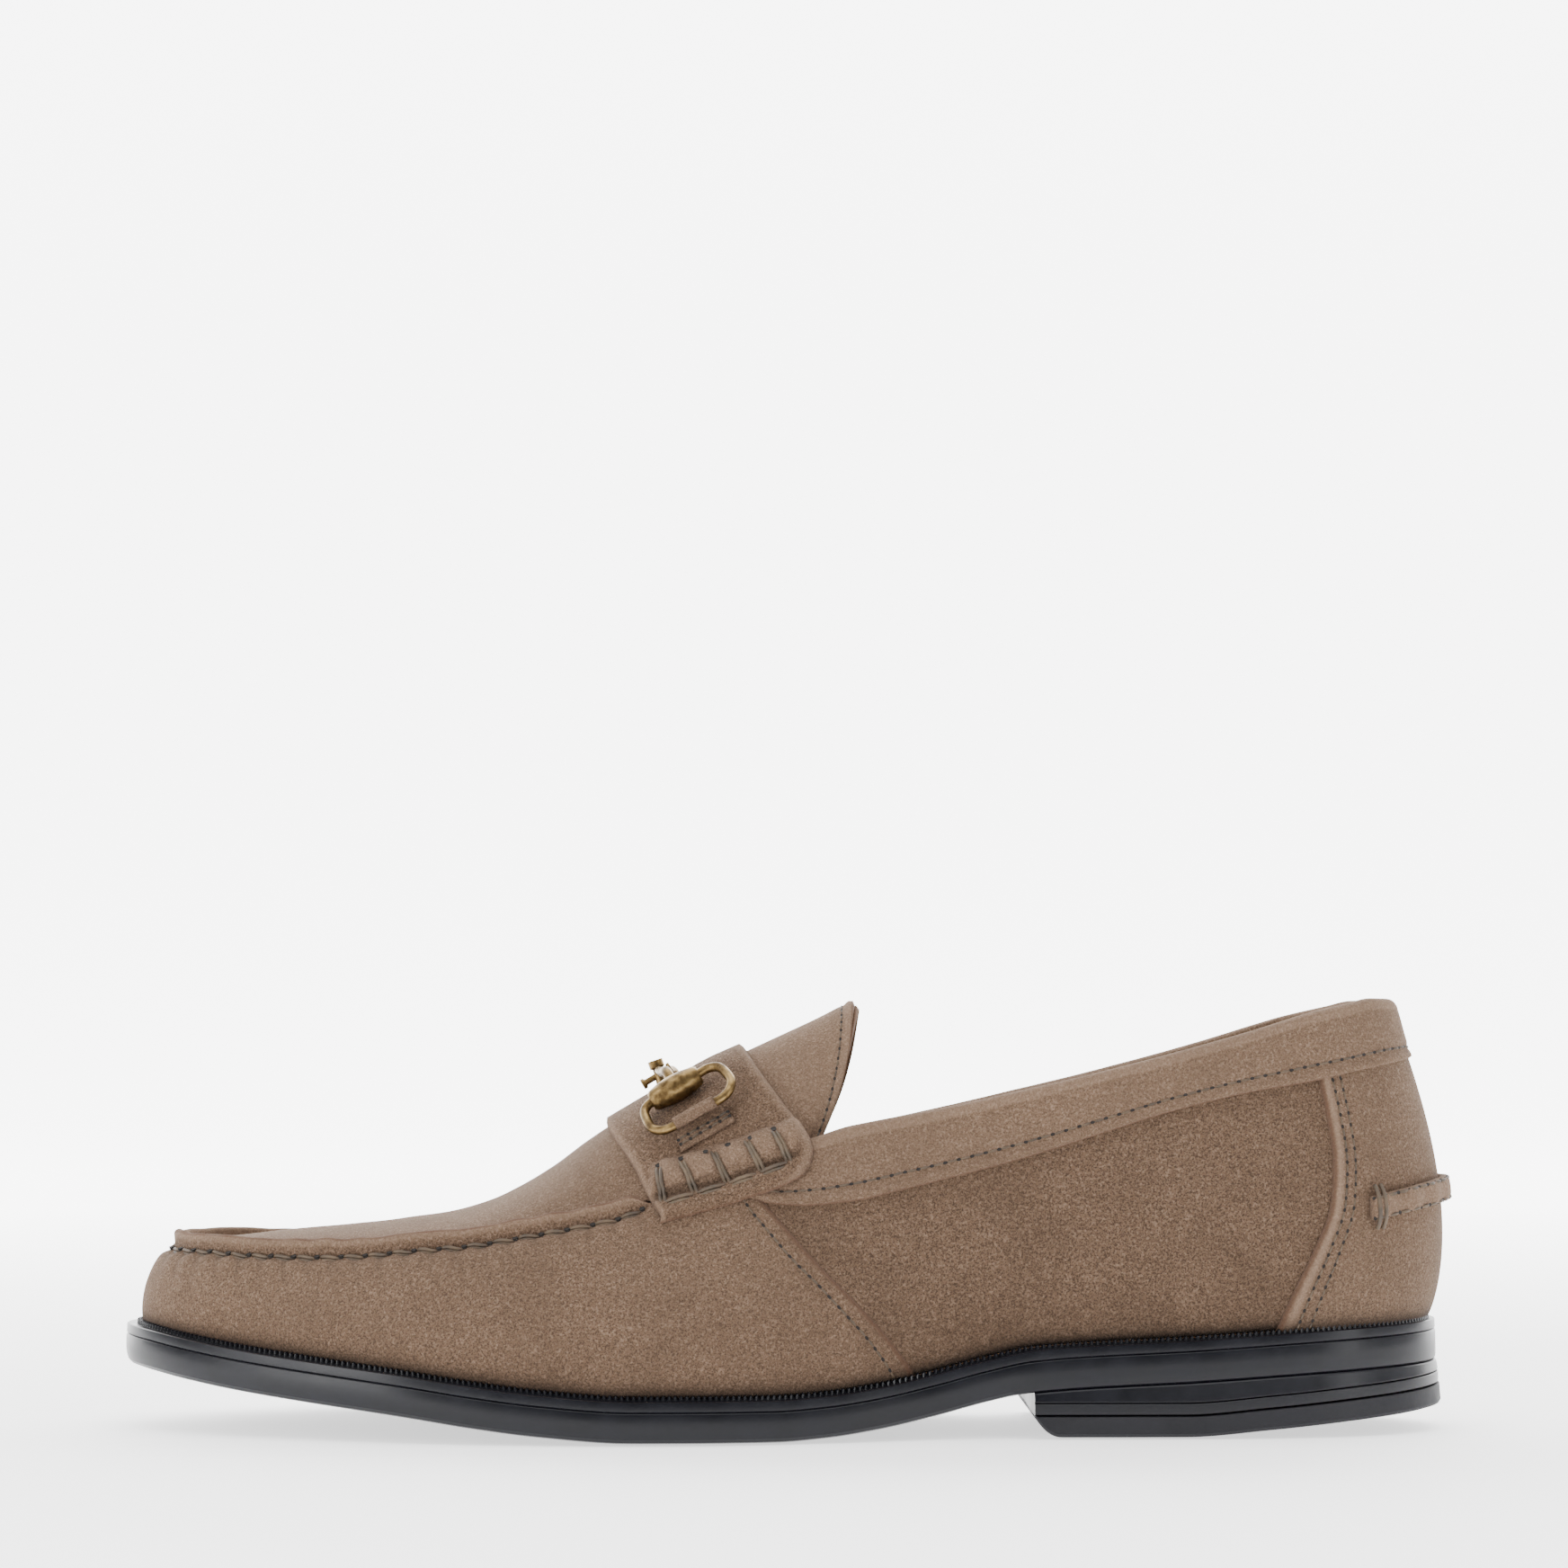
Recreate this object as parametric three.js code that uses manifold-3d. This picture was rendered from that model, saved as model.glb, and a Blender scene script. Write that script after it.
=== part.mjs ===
// A bit loafer for the left foot: a suede moccasin upper on a rubber sole with a stacked heel.
// Millimetres, +Z up, the toe towards -X, the outer side of the foot towards -Y.
// The origin lies on the floor, under the middle of the heel's flat spot.
import * as THREE from "three";
import { mergeVertices } from "three/addons/utils/BufferGeometryUtils.js";
import Module from "manifold-3d";

const wasm = await Module();
wasm.setup();

// Driving sizes of the sole
const sole_length = 300;
const ball_width = 100;
const heel_back = 73;
const heel_lift = 15.2;
const heel_back_rise = 5.1;
const toe_spring = 13.8;
const sole_thickness = 9;
const welt_thickness = 2;
const welt_width = 4.5;
const top_lift_thickness = 4.6;
const heel_groove_rise = 2.8;
const heel_flare = 1;
const breast_at = 0.313;
const flat_spot_front = 0.606;
const flat_spot_back = 0.503;
const insole_thickness = 3.2;

// Driving sizes of the upper
const leather = 2.6;
const quarter_step = 0.9;
const overlay_gap = 0.32;
const overlay_thickness = 1.3;
const toe_height = 40;
const throat_height = 63.8;
const back_height = 94;
const seam_lean = 15;
const belly = 5;
const instep_rise = 26.4;
const lip_height = 3.4;
const lip_width = 2.2;
const throat_at = 0.573;
const skin_end_at = 0.45;

// Driving sizes of the tongue, the strap and the bit
const tongue_thickness = 3;
const tongue_top_at = 0.444;
const tongue_top_z = 96.6;
const tongue_side_at = 0.4733;
const tongue_side_z = 61;
const tongue_half_width = 24.5;
const strap_thickness = 2.3;
const roll_height = 2.6;
const loop_thickness = 2.4;
const barrel_length = 12.4;
const barrel_radius = 3.1;
const barrel_tilt = 30;
const bit_at = 0.5763;
const bit_z = 75.4;
const link_at = 0.594;
const link_z = 80.4;
const ring_length = 20.4;
const ring_depth = 9.6;
const wire_radius = 1.05;
const tab_thickness = 1.3;

// The sole's outline: shares of the length from the heel, and of the ball's width from the middle line
const outline = [
  { at: 0, lateral: 0, medial: 0 },
  { at: 0.011, lateral: 0.13, medial: 0.13 },
  { at: 0.053, lateral: 0.25, medial: 0.25 },
  { at: 0.1, lateral: 0.305, medial: 0.3 },
  { at: 0.16, lateral: 0.33, medial: 0.325 },
  { at: 0.24, lateral: 0.34, medial: 0.315 },
  { at: 0.316, lateral: 0.345, medial: 0.29 },
  { at: 0.386, lateral: 0.37, medial: 0.28 },
  { at: 0.465, lateral: 0.44, medial: 0.3 },
  { at: 0.542, lateral: 0.49, medial: 0.35 },
  { at: 0.606, lateral: 0.5, medial: 0.405 },
  { at: 0.671, lateral: 0.49, medial: 0.46 },
  { at: 0.723, lateral: 0.47, medial: 0.49 },
  { at: 0.769, lateral: 0.44, medial: 0.5 },
  { at: 0.82, lateral: 0.39, medial: 0.485 },
  { at: 0.88, lateral: 0.32, medial: 0.43 },
  { at: 0.94, lateral: 0.23, medial: 0.34 },
  { at: 0.977, lateral: 0.13, medial: 0.235 },
  { at: 1, lateral: -0.05, medial: 0.05 },
];

// The outsole's underside: shares of the heel's lift and of the toe spring
const underside = [
  { at: 0, heel: 1, toe: 0 },
  { at: 0.085, heel: 0.92, toe: 0 },
  { at: 0.188, heel: 0.79, toe: 0 },
  { at: 0.313, heel: 0.64, toe: 0 },
  { at: 0.346, heel: 0.51, toe: 0 },
  { at: 0.386, heel: 0.31, toe: 0 },
  { at: 0.425, heel: 0.15, toe: 0 },
  { at: 0.465, heel: 0.045, toe: 0 },
  { at: flat_spot_back, heel: 0, toe: 0 },
  { at: flat_spot_front, heel: 0, toe: 0 },
  { at: 0.671, heel: 0, toe: 0.09 },
  { at: 0.723, heel: 0, toe: 0.22 },
  { at: 0.769, heel: 0, toe: 0.36 },
  { at: 0.82, heel: 0, toe: 0.49 },
  { at: 0.86, heel: 0, toe: 0.59 },
  { at: 0.9, heel: 0, toe: 0.7 },
  { at: 0.94, heel: 0, toe: 0.83 },
  { at: 0.977, heel: 0, toe: 0.95 },
  { at: 1, heel: 0, toe: 1 },
];

// The heel's tread: share of its rise at the back
const tread = [
  { at: 0, rise: 1 },
  { at: 0.03, rise: 0.84 },
  { at: 0.08, rise: 0.59 },
  { at: 0.139, rise: 0.28 },
  { at: 0.203, rise: 0 },
  { at: 1, rise: 0 },
];

// The upper's wall from heel to toe: the inset of its foot (share of the welt's width), its lean (share of
// seam_lean) and belly on both sides, how round its shoulder is, and its top line's shares of the heights
const wall = [
  { at: 0, foot: 0.62, lean: 0.44, leanIn: 0.44, belly: 0.96, bellyIn: 0.96, round: 0, vamp: 1, quarter: 0.98 },
  { at: 0.011, foot: 0.62, lean: 0.44, leanIn: 0.44, belly: 0.94, bellyIn: 0.94, round: 0, vamp: 1, quarter: 1.02 },
  { at: 0.03, foot: 0.62, lean: 0.45, leanIn: 0.45, belly: 0.9, bellyIn: 0.9, round: 0, vamp: 1, quarter: 1.02 },
  { at: 0.053, foot: 0.62, lean: 0.46, leanIn: 0.46, belly: 0.84, bellyIn: 0.84, round: 0, vamp: 1, quarter: 0.985 },
  { at: 0.1, foot: 0.62, lean: 0.4, leanIn: 0.4, belly: 0.7, bellyIn: 0.72, round: 0, vamp: 1, quarter: 0.9 },
  { at: 0.16, foot: 0.64, lean: 0.3, leanIn: 0.3, belly: 0.55, bellyIn: 0.66, round: 0, vamp: 1, quarter: 0.74 },
  { at: 0.24, foot: 0.68, lean: 0.28, leanIn: 0.22, belly: 0.48, bellyIn: 0.7, round: 0, vamp: 1, quarter: 0.53 },
  { at: 0.316, foot: 0.74, lean: 0.3, leanIn: 0.1, belly: 0.48, bellyIn: 0.8, round: 0, vamp: 1, quarter: 0.345 },
  { at: 0.386, foot: 0.84, lean: 0.42, leanIn: 0.04, belly: 0.56, bellyIn: 0.92, round: 0, vamp: 1, quarter: 0.18 },
  { at: 0.43, foot: 0.9, lean: 0.58, leanIn: 0.02, belly: 0.6, bellyIn: 0.96, round: 0, vamp: 1, quarter: 0.08 },
  { at: 0.465, foot: 0.94, lean: 0.76, leanIn: 0.04, belly: 0.6, bellyIn: 0.96, round: 0, vamp: 0.97, quarter: 0 },
  { at: 0.493, foot: 0.97, lean: 0.84, leanIn: 0.08, belly: 0.6, bellyIn: 0.92, round: 0, vamp: 0.85, quarter: 0 },
  { at: 0.537, foot: 0.98, lean: 0.98, leanIn: 0.16, belly: 0.58, bellyIn: 0.82, round: 0.08, vamp: 0.655, quarter: 0 },
  { at: 0.585, foot: 1, lean: 0.98, leanIn: 0.28, belly: 0.54, bellyIn: 0.7, round: 0.2, vamp: 0.48, quarter: 0 },
  { at: 0.624, foot: 1, lean: 0.92, leanIn: 0.42, belly: 0.5, bellyIn: 0.58, round: 0.34, vamp: 0.33, quarter: 0 },
  { at: 0.665, foot: 1, lean: 0.84, leanIn: 0.56, belly: 0.44, bellyIn: 0.48, round: 0.5, vamp: 0.235, quarter: 0 },
  { at: 0.703, foot: 1, lean: 0.76, leanIn: 0.66, belly: 0.4, bellyIn: 0.4, round: 0.64, vamp: 0.15, quarter: 0 },
  { at: 0.744, foot: 1, lean: 0.66, leanIn: 0.74, belly: 0.34, bellyIn: 0.34, round: 0.76, vamp: 0.075, quarter: 0 },
  { at: 0.785, foot: 1, lean: 0.57, leanIn: 0.75, belly: 0.3, bellyIn: 0.3, round: 0.88, vamp: 0.03, quarter: 0 },
  { at: 0.823, foot: 1, lean: 0.48, leanIn: 0.7, belly: 0.26, bellyIn: 0.26, round: 0.95, vamp: -0.02, quarter: 0 },
  { at: 0.863, foot: 1, lean: 0.4, leanIn: 0.6, belly: 0.22, bellyIn: 0.22, round: 1, vamp: -0.035, quarter: 0 },
  { at: 0.905, foot: 1, lean: 0.36, leanIn: 0.48, belly: 0.18, bellyIn: 0.18, round: 1, vamp: -0.03, quarter: 0 },
  { at: 0.95, foot: 0.94, lean: 0.4, leanIn: 0.44, belly: 0.14, bellyIn: 0.14, round: 1, vamp: -0.01, quarter: 0 },
  { at: 1, foot: 0.84, lean: 0.46, leanIn: 0.46, belly: 0.12, bellyIn: 0.12, round: 1, vamp: 0, quarter: 0 },
];

// The crown over the seams, as a share of the instep's rise
const crown = [
  { at: 0, rise: 1 },
  { at: 0.46, rise: 1 },
  { at: 0.5, rise: 1.02 },
  { at: 0.537, rise: 1 },
  { at: 0.585, rise: 0.86 },
  { at: 0.624, rise: 0.74 },
  { at: 0.64, rise: 0.66 },
  { at: 0.67, rise: 0.48 },
  { at: 0.7, rise: 0.35 },
  { at: 0.72, rise: 0.29 },
  { at: 0.77, rise: 0.225 },
  { at: 0.82, rise: 0.215 },
  { at: 0.86, rise: 0.19 },
  { at: 0.9, rise: 0.145 },
  { at: 0.94, rise: 0.085 },
  { at: 0.977, rise: 0.05 },
  { at: 1, rise: 0 },
];

function placed(table) {
  return table.map((row) => ({ x: heel_back - row.at * sole_length, z: row.z }));
}

// Outlines of the sewn pieces in the side view: shares of the length from the heel, and heights
const vamp_edge = placed([
  { at: 0.5233, z: 58 },
  { at: 0.5103, z: 51.7 },
  { at: 0.4907, z: 44.9 },
  { at: 0.4647, z: 36.3 },
  { at: 0.4387, z: 28.5 },
  { at: 0.4157, z: 20.6 },
  { at: 0.4003, z: 13.6 },
  { at: 0.3933, z: 6 },
]);
const band_edge = placed([
  { at: 0.4820, z: 50.7 },
  { at: 0.4447, z: 51.6 },
  { at: 0.4050, z: 54.2 },
  { at: 0.3653, z: 57.1 },
  { at: 0.3123, z: 61.4 },
  { at: 0.2593, z: 66.4 },
  { at: 0.2063, z: 71.3 },
  { at: 0.1467, z: 75.5 },
  { at: 0.0920, z: 78.2 },
  { at: 0.0147, z: 82.8 },
  { at: -0.0567, z: 86 },
]);
const counter_edge = placed([
  { at: 0.0957, z: 75.8 },
  { at: 0.0920, z: 69.3 },
  { at: 0.0890, z: 60.4 },
  { at: 0.0920, z: 50.5 },
  { at: 0.1067, z: 39.8 },
  { at: 0.1217, z: 30.9 },
  { at: 0.1330, z: 23 },
  { at: 0.1433, z: 14 },
]);
const strap_front = placed([
  { at: 0.5773, z: 47.2 },
  { at: 0.5863, z: 47.9 },
  { at: 0.5953, z: 51.5 },
  { at: 0.6077, z: 58.2 },
  { at: 0.6343, z: 68.2 },
  { at: 0.6467, z: 73 },
]);
const strap_back = placed([
  { at: 0.5400, z: 93 },
  { at: 0.5250, z: 84.8 },
  { at: 0.4973, z: 73.2 },
  { at: 0.4773, z: 64.3 },
  { at: 0.4740, z: 61.4 },
  { at: 0.4807, z: 56.9 },
  { at: 0.5040, z: 53.6 },
  { at: 0.5433, z: 50.1 },
]);
const roll_line = placed([
  { at: 0.5853, z: 54 },
  { at: 0.5683, z: 55.2 },
  { at: 0.5433, z: 57.6 },
  { at: 0.5167, z: 60.4 },
  { at: 0.4900, z: 63.4 },
]);
const tab_outline = placed([
  { at: 0.5813, z: 66.2 },
  { at: 0.5440, z: 71.2 },
  { at: 0.5280, z: 66.4 },
  { at: 0.5680, z: 61 },
]);
const loop_outline = placed([
  { at: 0.0640, z: 46.8 },
  { at: 0.0327, z: 49 },
  { at: -0.0300, z: 51.9 },
  { at: -0.0300, z: 57.2 },
  { at: 0.0323, z: 54.5 },
  { at: 0.0640, z: 52.3 },
]);

const sole_rows = 44;
const wall_steps = [0, 0.13, 0.3, 0.48, 0.66, 0.81, 0.93, 1];
const crown_steps = [-0.84, -0.6, -0.3, 0, 0.3, 0.6, 0.84];

// ---- curves through the tables ----
// A smooth line through the given places that adds no bumps of its own
function smoothLine(places, values) {
  const count = places.length;
  const slope = [];
  for (let i = 0; i < count - 1; i += 1) {
    slope.push((values[i + 1] - values[i]) / (places[i + 1] - places[i]));
  }
  const tangent = [slope[0]];
  for (let i = 1; i < count - 1; i += 1) {
    const before = slope[i - 1];
    const after = slope[i];
    if (before * after <= 0) {
      tangent.push(0);
    } else {
      const near = places[i] - places[i - 1];
      const far = places[i + 1] - places[i];
      const a = 2 * far + near;
      const b = far + 2 * near;
      tangent.push((a + b) / (a / before + b / after));
    }
  }
  tangent.push(slope[count - 2]);
  return (place) => {
    let i = 0;
    while (i < count - 2 && place > places[i + 1]) {
      i += 1;
    }
    const span = places[i + 1] - places[i];
    const t = THREE.MathUtils.clamp((place - places[i]) / span, 0, 1);
    const t2 = t * t;
    const t3 = t2 * t;
    return (
      values[i] * (2 * t3 - 3 * t2 + 1) +
      values[i + 1] * (3 * t2 - 2 * t3) +
      span * (tangent[i] * (t3 - 2 * t2 + t) + tangent[i + 1] * (t3 - t2))
    );
  };
}

function columnLine(table, column) {
  return smoothLine(
    table.map((row) => row.at),
    table.map((row) => row[column]),
  );
}

// The turn runs from 0 at the heel over the outer side to PI at the toe and back along the inner side
function turnOf(share) {
  return Math.acos(1 - 2 * share);
}

function shareOf(turn) {
  return (1 - Math.cos(turn)) / 2;
}

function wrapTurn(turn) {
  return THREE.MathUtils.euclideanModulo(turn, 2 * Math.PI);
}

// One column for the outer side and one for the inner side, read at any turn
function sideLines(table, outer, inner) {
  const lateral = columnLine(table, outer);
  const medial = columnLine(table, inner);
  return (turn) => {
    const place = wrapTurn(turn);
    return place <= Math.PI ? lateral(shareOf(place)) : medial(shareOf(place));
  };
}

// The outline's distance from the middle line is a periodic curve over the turn, so both tips are round
function outlineLine() {
  const knots = [];
  for (const row of outline) {
    knots.push({ turn: turnOf(row.at), y: -row.lateral * ball_width });
  }
  for (const row of [...outline].reverse().slice(1, -1)) {
    knots.push({ turn: 2 * Math.PI - turnOf(row.at), y: row.medial * ball_width });
  }
  const count = knots.length;
  const knot = (i) => {
    const lap = Math.floor(i / count);
    const own = knots[i - lap * count];
    return { turn: own.turn + lap * 2 * Math.PI, y: own.y };
  };
  const tangent = (i) => {
    const a = knot(i - 1);
    const b = knot(i);
    const c = knot(i + 1);
    const before = (b.y - a.y) / (b.turn - a.turn);
    const after = (c.y - b.y) / (c.turn - b.turn);
    return (before * (c.turn - b.turn) + after * (b.turn - a.turn)) / (c.turn - a.turn);
  };
  return (turn) => {
    const place = wrapTurn(turn);
    let i = 0;
    while (i < count - 1 && place > knot(i + 1).turn) {
      i += 1;
    }
    const a = knot(i);
    const b = knot(i + 1);
    const span = b.turn - a.turn;
    const t = (place - a.turn) / span;
    const t2 = t * t;
    const t3 = t2 * t;
    return (
      a.y * (2 * t3 - 3 * t2 + 1) +
      b.y * (3 * t2 - 2 * t3) +
      span * (tangent(i) * (t3 - 2 * t2 + t) + tangent(i + 1) * (t3 - t2))
    );
  };
}

const outlineY = outlineLine();
const heelShare = columnLine(underside, "heel");
const toeShare = columnLine(underside, "toe");
const treadRise = columnLine(tread, "rise");
const crownRise = columnLine(crown, "rise");
const footLine = sideLines(wall, "foot", "foot");
const leanLine = sideLines(wall, "lean", "leanIn");
const bellyLine = sideLines(wall, "belly", "bellyIn");
const roundLine = sideLines(wall, "round", "round");
const vampLine = sideLines(wall, "vamp", "vamp");
const quarterLine = sideLines(wall, "quarter", "quarter");

// ---- plan and heights ----
function planPoint(turn, inset) {
  const at = (t) => ({
    x: heel_back - sole_length * shareOf(wrapTurn(t)),
    y: outlineY(t),
  });
  const here = at(turn);
  const before = at(turn - 0.004);
  const after = at(turn + 0.004);
  const along = new THREE.Vector2(after.x - before.x, after.y - before.y).normalize();
  return new THREE.Vector2(here.x + along.y * inset, here.y - along.x * inset);
}

function shareAt(x) {
  return THREE.MathUtils.clamp((heel_back - x) / sole_length, 0, 1);
}

function underZ(x) {
  const share = shareAt(x);
  return heel_lift * heelShare(share) + toe_spring * toeShare(share);
}

function seatZ(x) {
  return underZ(x) + sole_thickness;
}

function treadZ(x) {
  return heel_back_rise * treadRise(shareAt(x));
}

// The rows share their turns between the sole and the upper, and hit the places named here
function rowTurns() {
  const turns = [];
  for (let i = 0; i <= sole_rows; i += 1) {
    turns.push((Math.PI * i) / sole_rows);
  }
  for (const mark of [0.203, breast_at, skin_end_at, flat_spot_back, throat_at, flat_spot_front]) {
    const wanted = turnOf(mark);
    let best = 1;
    for (let i = 1; i < sole_rows; i += 1) {
      if (Math.abs(turns[i] - wanted) < Math.abs(turns[best] - wanted)) {
        best = i;
      }
    }
    turns[best] = wanted;
  }
  return turns;
}

const half_turns = rowTurns();
const loop_count = 2 * sole_rows;

function turnAt(k) {
  return k <= sole_rows ? half_turns[k] : 2 * Math.PI - half_turns[loop_count - k];
}

function rowOf(share) {
  return half_turns.findIndex((turn) => turn > turnOf(share) - 1e-6);
}

// ---- solids ----
function solidOf(geometry) {
  const plain = geometry.clone();
  plain.deleteAttribute("normal");
  plain.deleteAttribute("uv");
  const merged = mergeVertices(plain, 1e-4);
  return new wasm.Manifold(
    new wasm.Mesh({
      numProp: 3,
      vertProperties: new Float32Array(merged.attributes.position.array),
      triVerts: new Uint32Array(merged.index.array),
    }),
  );
}

function geometryOf(solid) {
  const mesh = solid.getMesh();
  const geometry = new THREE.BufferGeometry();
  geometry.setAttribute("position", new THREE.Float32BufferAttribute(mesh.vertProperties, 3));
  geometry.setIndex(Array.from(mesh.triVerts));
  geometry.computeVertexNormals();
  return geometry;
}

// A closed skin of points and triangles, turned so that its faces point out
function closedSolid(points, faces) {
  let volume = 0;
  for (const [a, b, c] of faces) {
    volume += points[a].dot(new THREE.Vector3().crossVectors(points[b], points[c]));
  }
  const index = volume < 0 ? faces.map(([a, b, c]) => [a, c, b]) : faces;
  const geometry = new THREE.BufferGeometry().setFromPoints(points);
  geometry.setIndex(index.flat());
  return solidOf(geometry);
}

// The largest body of a cut, without slivers in its faces and crumbs beside it
function largest(solid) {
  const bodies = solid.simplify(0.02).decompose();
  bodies.sort((a, b) => b.volume() - a.volume());
  return bodies[0];
}

// A bar along Y with an outline given in the side view
function prism(outlinePoints, from = -90, to = 90) {
  const shape = new THREE.Shape(outlinePoints.map((p) => new THREE.Vector2(p.x, p.z)));
  const geometry = new THREE.ExtrudeGeometry(shape, { depth: to - from, bevelEnabled: false });
  geometry.rotateX(Math.PI / 2);
  geometry.translate(0, to, 0);
  return solidOf(geometry);
}

// Stacked rings over the rows 0 to last, closed below and above by strips from side to side
function slab(last, rings) {
  const whole = last === sole_rows;
  const loop = [];
  for (let k = 0; k < loop_count; k += 1) {
    if (whole || k <= last || k >= loop_count - last) {
      loop.push(k);
    }
  }
  const count = loop.length;
  const points = [];
  for (const ring of rings) {
    for (const k of loop) {
      points.push(ring(turnAt(k)));
    }
  }
  const faces = [];
  for (let level = 0; level < rings.length - 1; level += 1) {
    for (let i = 0; i < count; i += 1) {
      const a = level * count + i;
      const b = level * count + ((i + 1) % count);
      faces.push([a, b, b + count], [a, b + count, a + count]);
    }
  }
  const cap = (start, flip) => {
    for (let i = 0; i < Math.floor(count / 2); i += 1) {
      const left = start + i;
      const leftNext = start + i + 1;
      const right = start + ((count - i) % count);
      const rightNext = start + count - i - 1;
      const strips = [];
      if (i > 0) {
        strips.push([left, right, leftNext]);
      }
      if (leftNext !== rightNext) {
        strips.push(i > 0 ? [right, rightNext, leftNext] : [left, rightNext, leftNext]);
      }
      for (const [a, b, c] of strips) {
        faces.push(flip ? [a, c, b] : [a, b, c]);
      }
    }
  };
  cap(0, false);
  cap((rings.length - 1) * count, true);
  return closedSolid(points, faces);
}

// A closed band of rings that runs all the way round
function hoop(rings) {
  const points = [];
  for (const ring of rings) {
    for (let k = 0; k < loop_count; k += 1) {
      points.push(ring(turnAt(k)));
    }
  }
  const faces = [];
  const total = rings.length * loop_count;
  for (let level = 0; level < rings.length; level += 1) {
    for (let k = 0; k < loop_count; k += 1) {
      const a = level * loop_count + k;
      const b = level * loop_count + ((k + 1) % loop_count);
      const up = (value) => (value + loop_count) % total;
      faces.push([a, b, up(b)], [a, up(b), up(a)]);
    }
  }
  return closedSolid(points, faces);
}

// A ring at an inset from the outline, its height read at its own x
function ringAt(inset, height) {
  return (turn) => {
    const plan = planPoint(turn, typeof inset === "function" ? inset(turn) : inset);
    return new THREE.Vector3(plan.x, plan.y, height(plan.x));
  };
}

// ---- the upper's skin: wall and crown on one grid ----
function footInset(turn) {
  return footLine(turn) * welt_width;
}

function wallPoint(turn, v) {
  const foot = footInset(turn);
  const start = planPoint(turn, foot);
  const low = seatZ(start.x) + overlay_gap;
  const top =
    toe_height +
    vampLine(turn) * (throat_height - toe_height) +
    quarterLine(turn) * (back_height - throat_height);
  const round = roundLine(turn);
  const shoulder = 1 - Math.sqrt(Math.max(0, 1 - v * v));
  const lean = seam_lean * leanLine(turn) * ((1 - round) * v * v + round * shoulder);
  const out = belly * bellyLine(turn) * Math.sin(Math.PI * THREE.MathUtils.clamp(v, 0, 1) ** 0.7);
  const plan = planPoint(turn, foot + lean - out);
  return new THREE.Vector3(plan.x, plan.y, low + v * (top - low));
}

function crownPoint(turn, across) {
  const outer = wallPoint(turn, 1);
  const inner = wallPoint(2 * Math.PI - turn, 1);
  const point = outer.clone().lerp(inner, (across + 1) / 2);
  const rise = instep_rise * crownRise(shareOf(turn));
  point.z += rise * (1 - Math.abs(across) ** 2.2);
  return point;
}

function normalsOf(points, faces) {
  const normals = points.map(() => new THREE.Vector3());
  for (const [a, b, c] of faces) {
    const ab = points[b].clone().sub(points[a]);
    const ac = points[c].clone().sub(points[a]);
    const face = ab.cross(ac);
    for (const i of [a, b, c]) {
      normals[i].add(face);
    }
  }
  return normals.map((n) => n.normalize());
}

function buildSkin() {
  const points = [];
  const wallNodes = [];
  for (let k = 0; k < loop_count; k += 1) {
    wallNodes.push(
      wall_steps.map((v) => {
        points.push(wallPoint(turnAt(k), v));
        return points.length - 1;
      }),
    );
  }
  const wallFaces = [];
  for (let k = 0; k < loop_count; k += 1) {
    const here = wallNodes[k];
    const next = wallNodes[(k + 1) % loop_count];
    for (let j = 0; j < wall_steps.length - 1; j += 1) {
      wallFaces.push([here[j], here[j + 1], next[j + 1]], [here[j], next[j + 1], next[j]]);
    }
  }
  const top = wall_steps.length - 1;
  const crownRow = (row) => [
    wallNodes[row][top],
    ...crown_steps.map((across) => {
      points.push(crownPoint(half_turns[row], across));
      return points.length - 1;
    }),
    wallNodes[loop_count - row][top],
  ];
  const crownFaces = [];
  const first = rowOf(skin_end_at);
  let behind = crownRow(first);
  for (let row = first + 1; row <= sole_rows; row += 1) {
    if (row === sole_rows) {
      const tip = wallNodes[sole_rows][top];
      for (let m = 0; m < behind.length - 1; m += 1) {
        crownFaces.push({ row, face: [behind[m], behind[m + 1], tip] });
      }
    } else {
      const ahead = crownRow(row);
      for (let m = 0; m < behind.length - 1; m += 1) {
        crownFaces.push({ row, face: [behind[m], behind[m + 1], ahead[m + 1]] });
        crownFaces.push({ row, face: [behind[m], ahead[m + 1], ahead[m]] });
      }
      behind = ahead;
    }
  }
  const allFaces = [...wallFaces, ...crownFaces.map((entry) => entry.face)];
  return { points, wallFaces, crownFaces, normals: normalsOf(points, allFaces) };
}

const skin = buildSkin();

function centreOf(face) {
  return face
    .reduce((sum, i) => sum.add(skin.points[i]), new THREE.Vector3())
    .divideScalar(3);
}

// A sheet of the skin's triangles, from one height over the skin to another, closed along its edges
function sheet(faces, low, high, points = skin.points, normals = skin.normals) {
  const index = new Map();
  const used = [];
  for (const i of faces.flat()) {
    if (!index.has(i)) {
      index.set(i, used.length);
      used.push(i);
    }
  }
  const count = used.length;
  const raised = (height) => used.map((i) => points[i].clone().addScaledVector(normals[i], height));
  const out = faces.map((face) => face.map((i) => index.get(i)));
  const edges = new Map();
  for (const [a, b, c] of out) {
    for (const [from, to] of [[a, b], [b, c], [c, a]]) {
      const back = to + "_" + from;
      if (edges.has(back)) {
        edges.delete(back);
      } else {
        edges.set(from + "_" + to, [from, to]);
      }
    }
  }
  const closed = [...out, ...out.map(([a, b, c]) => [a + count, c + count, b + count])];
  for (const [from, to] of edges.values()) {
    closed.push([to, from, from + count], [to, from + count, to + count]);
  }
  return closedSolid([...raised(high), ...raised(low)], closed);
}

const clear_steps = [...wall_steps.slice(0, -1), 1.012];
const cut_steps = [-0.03, ...wall_steps, 1.03];

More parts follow.
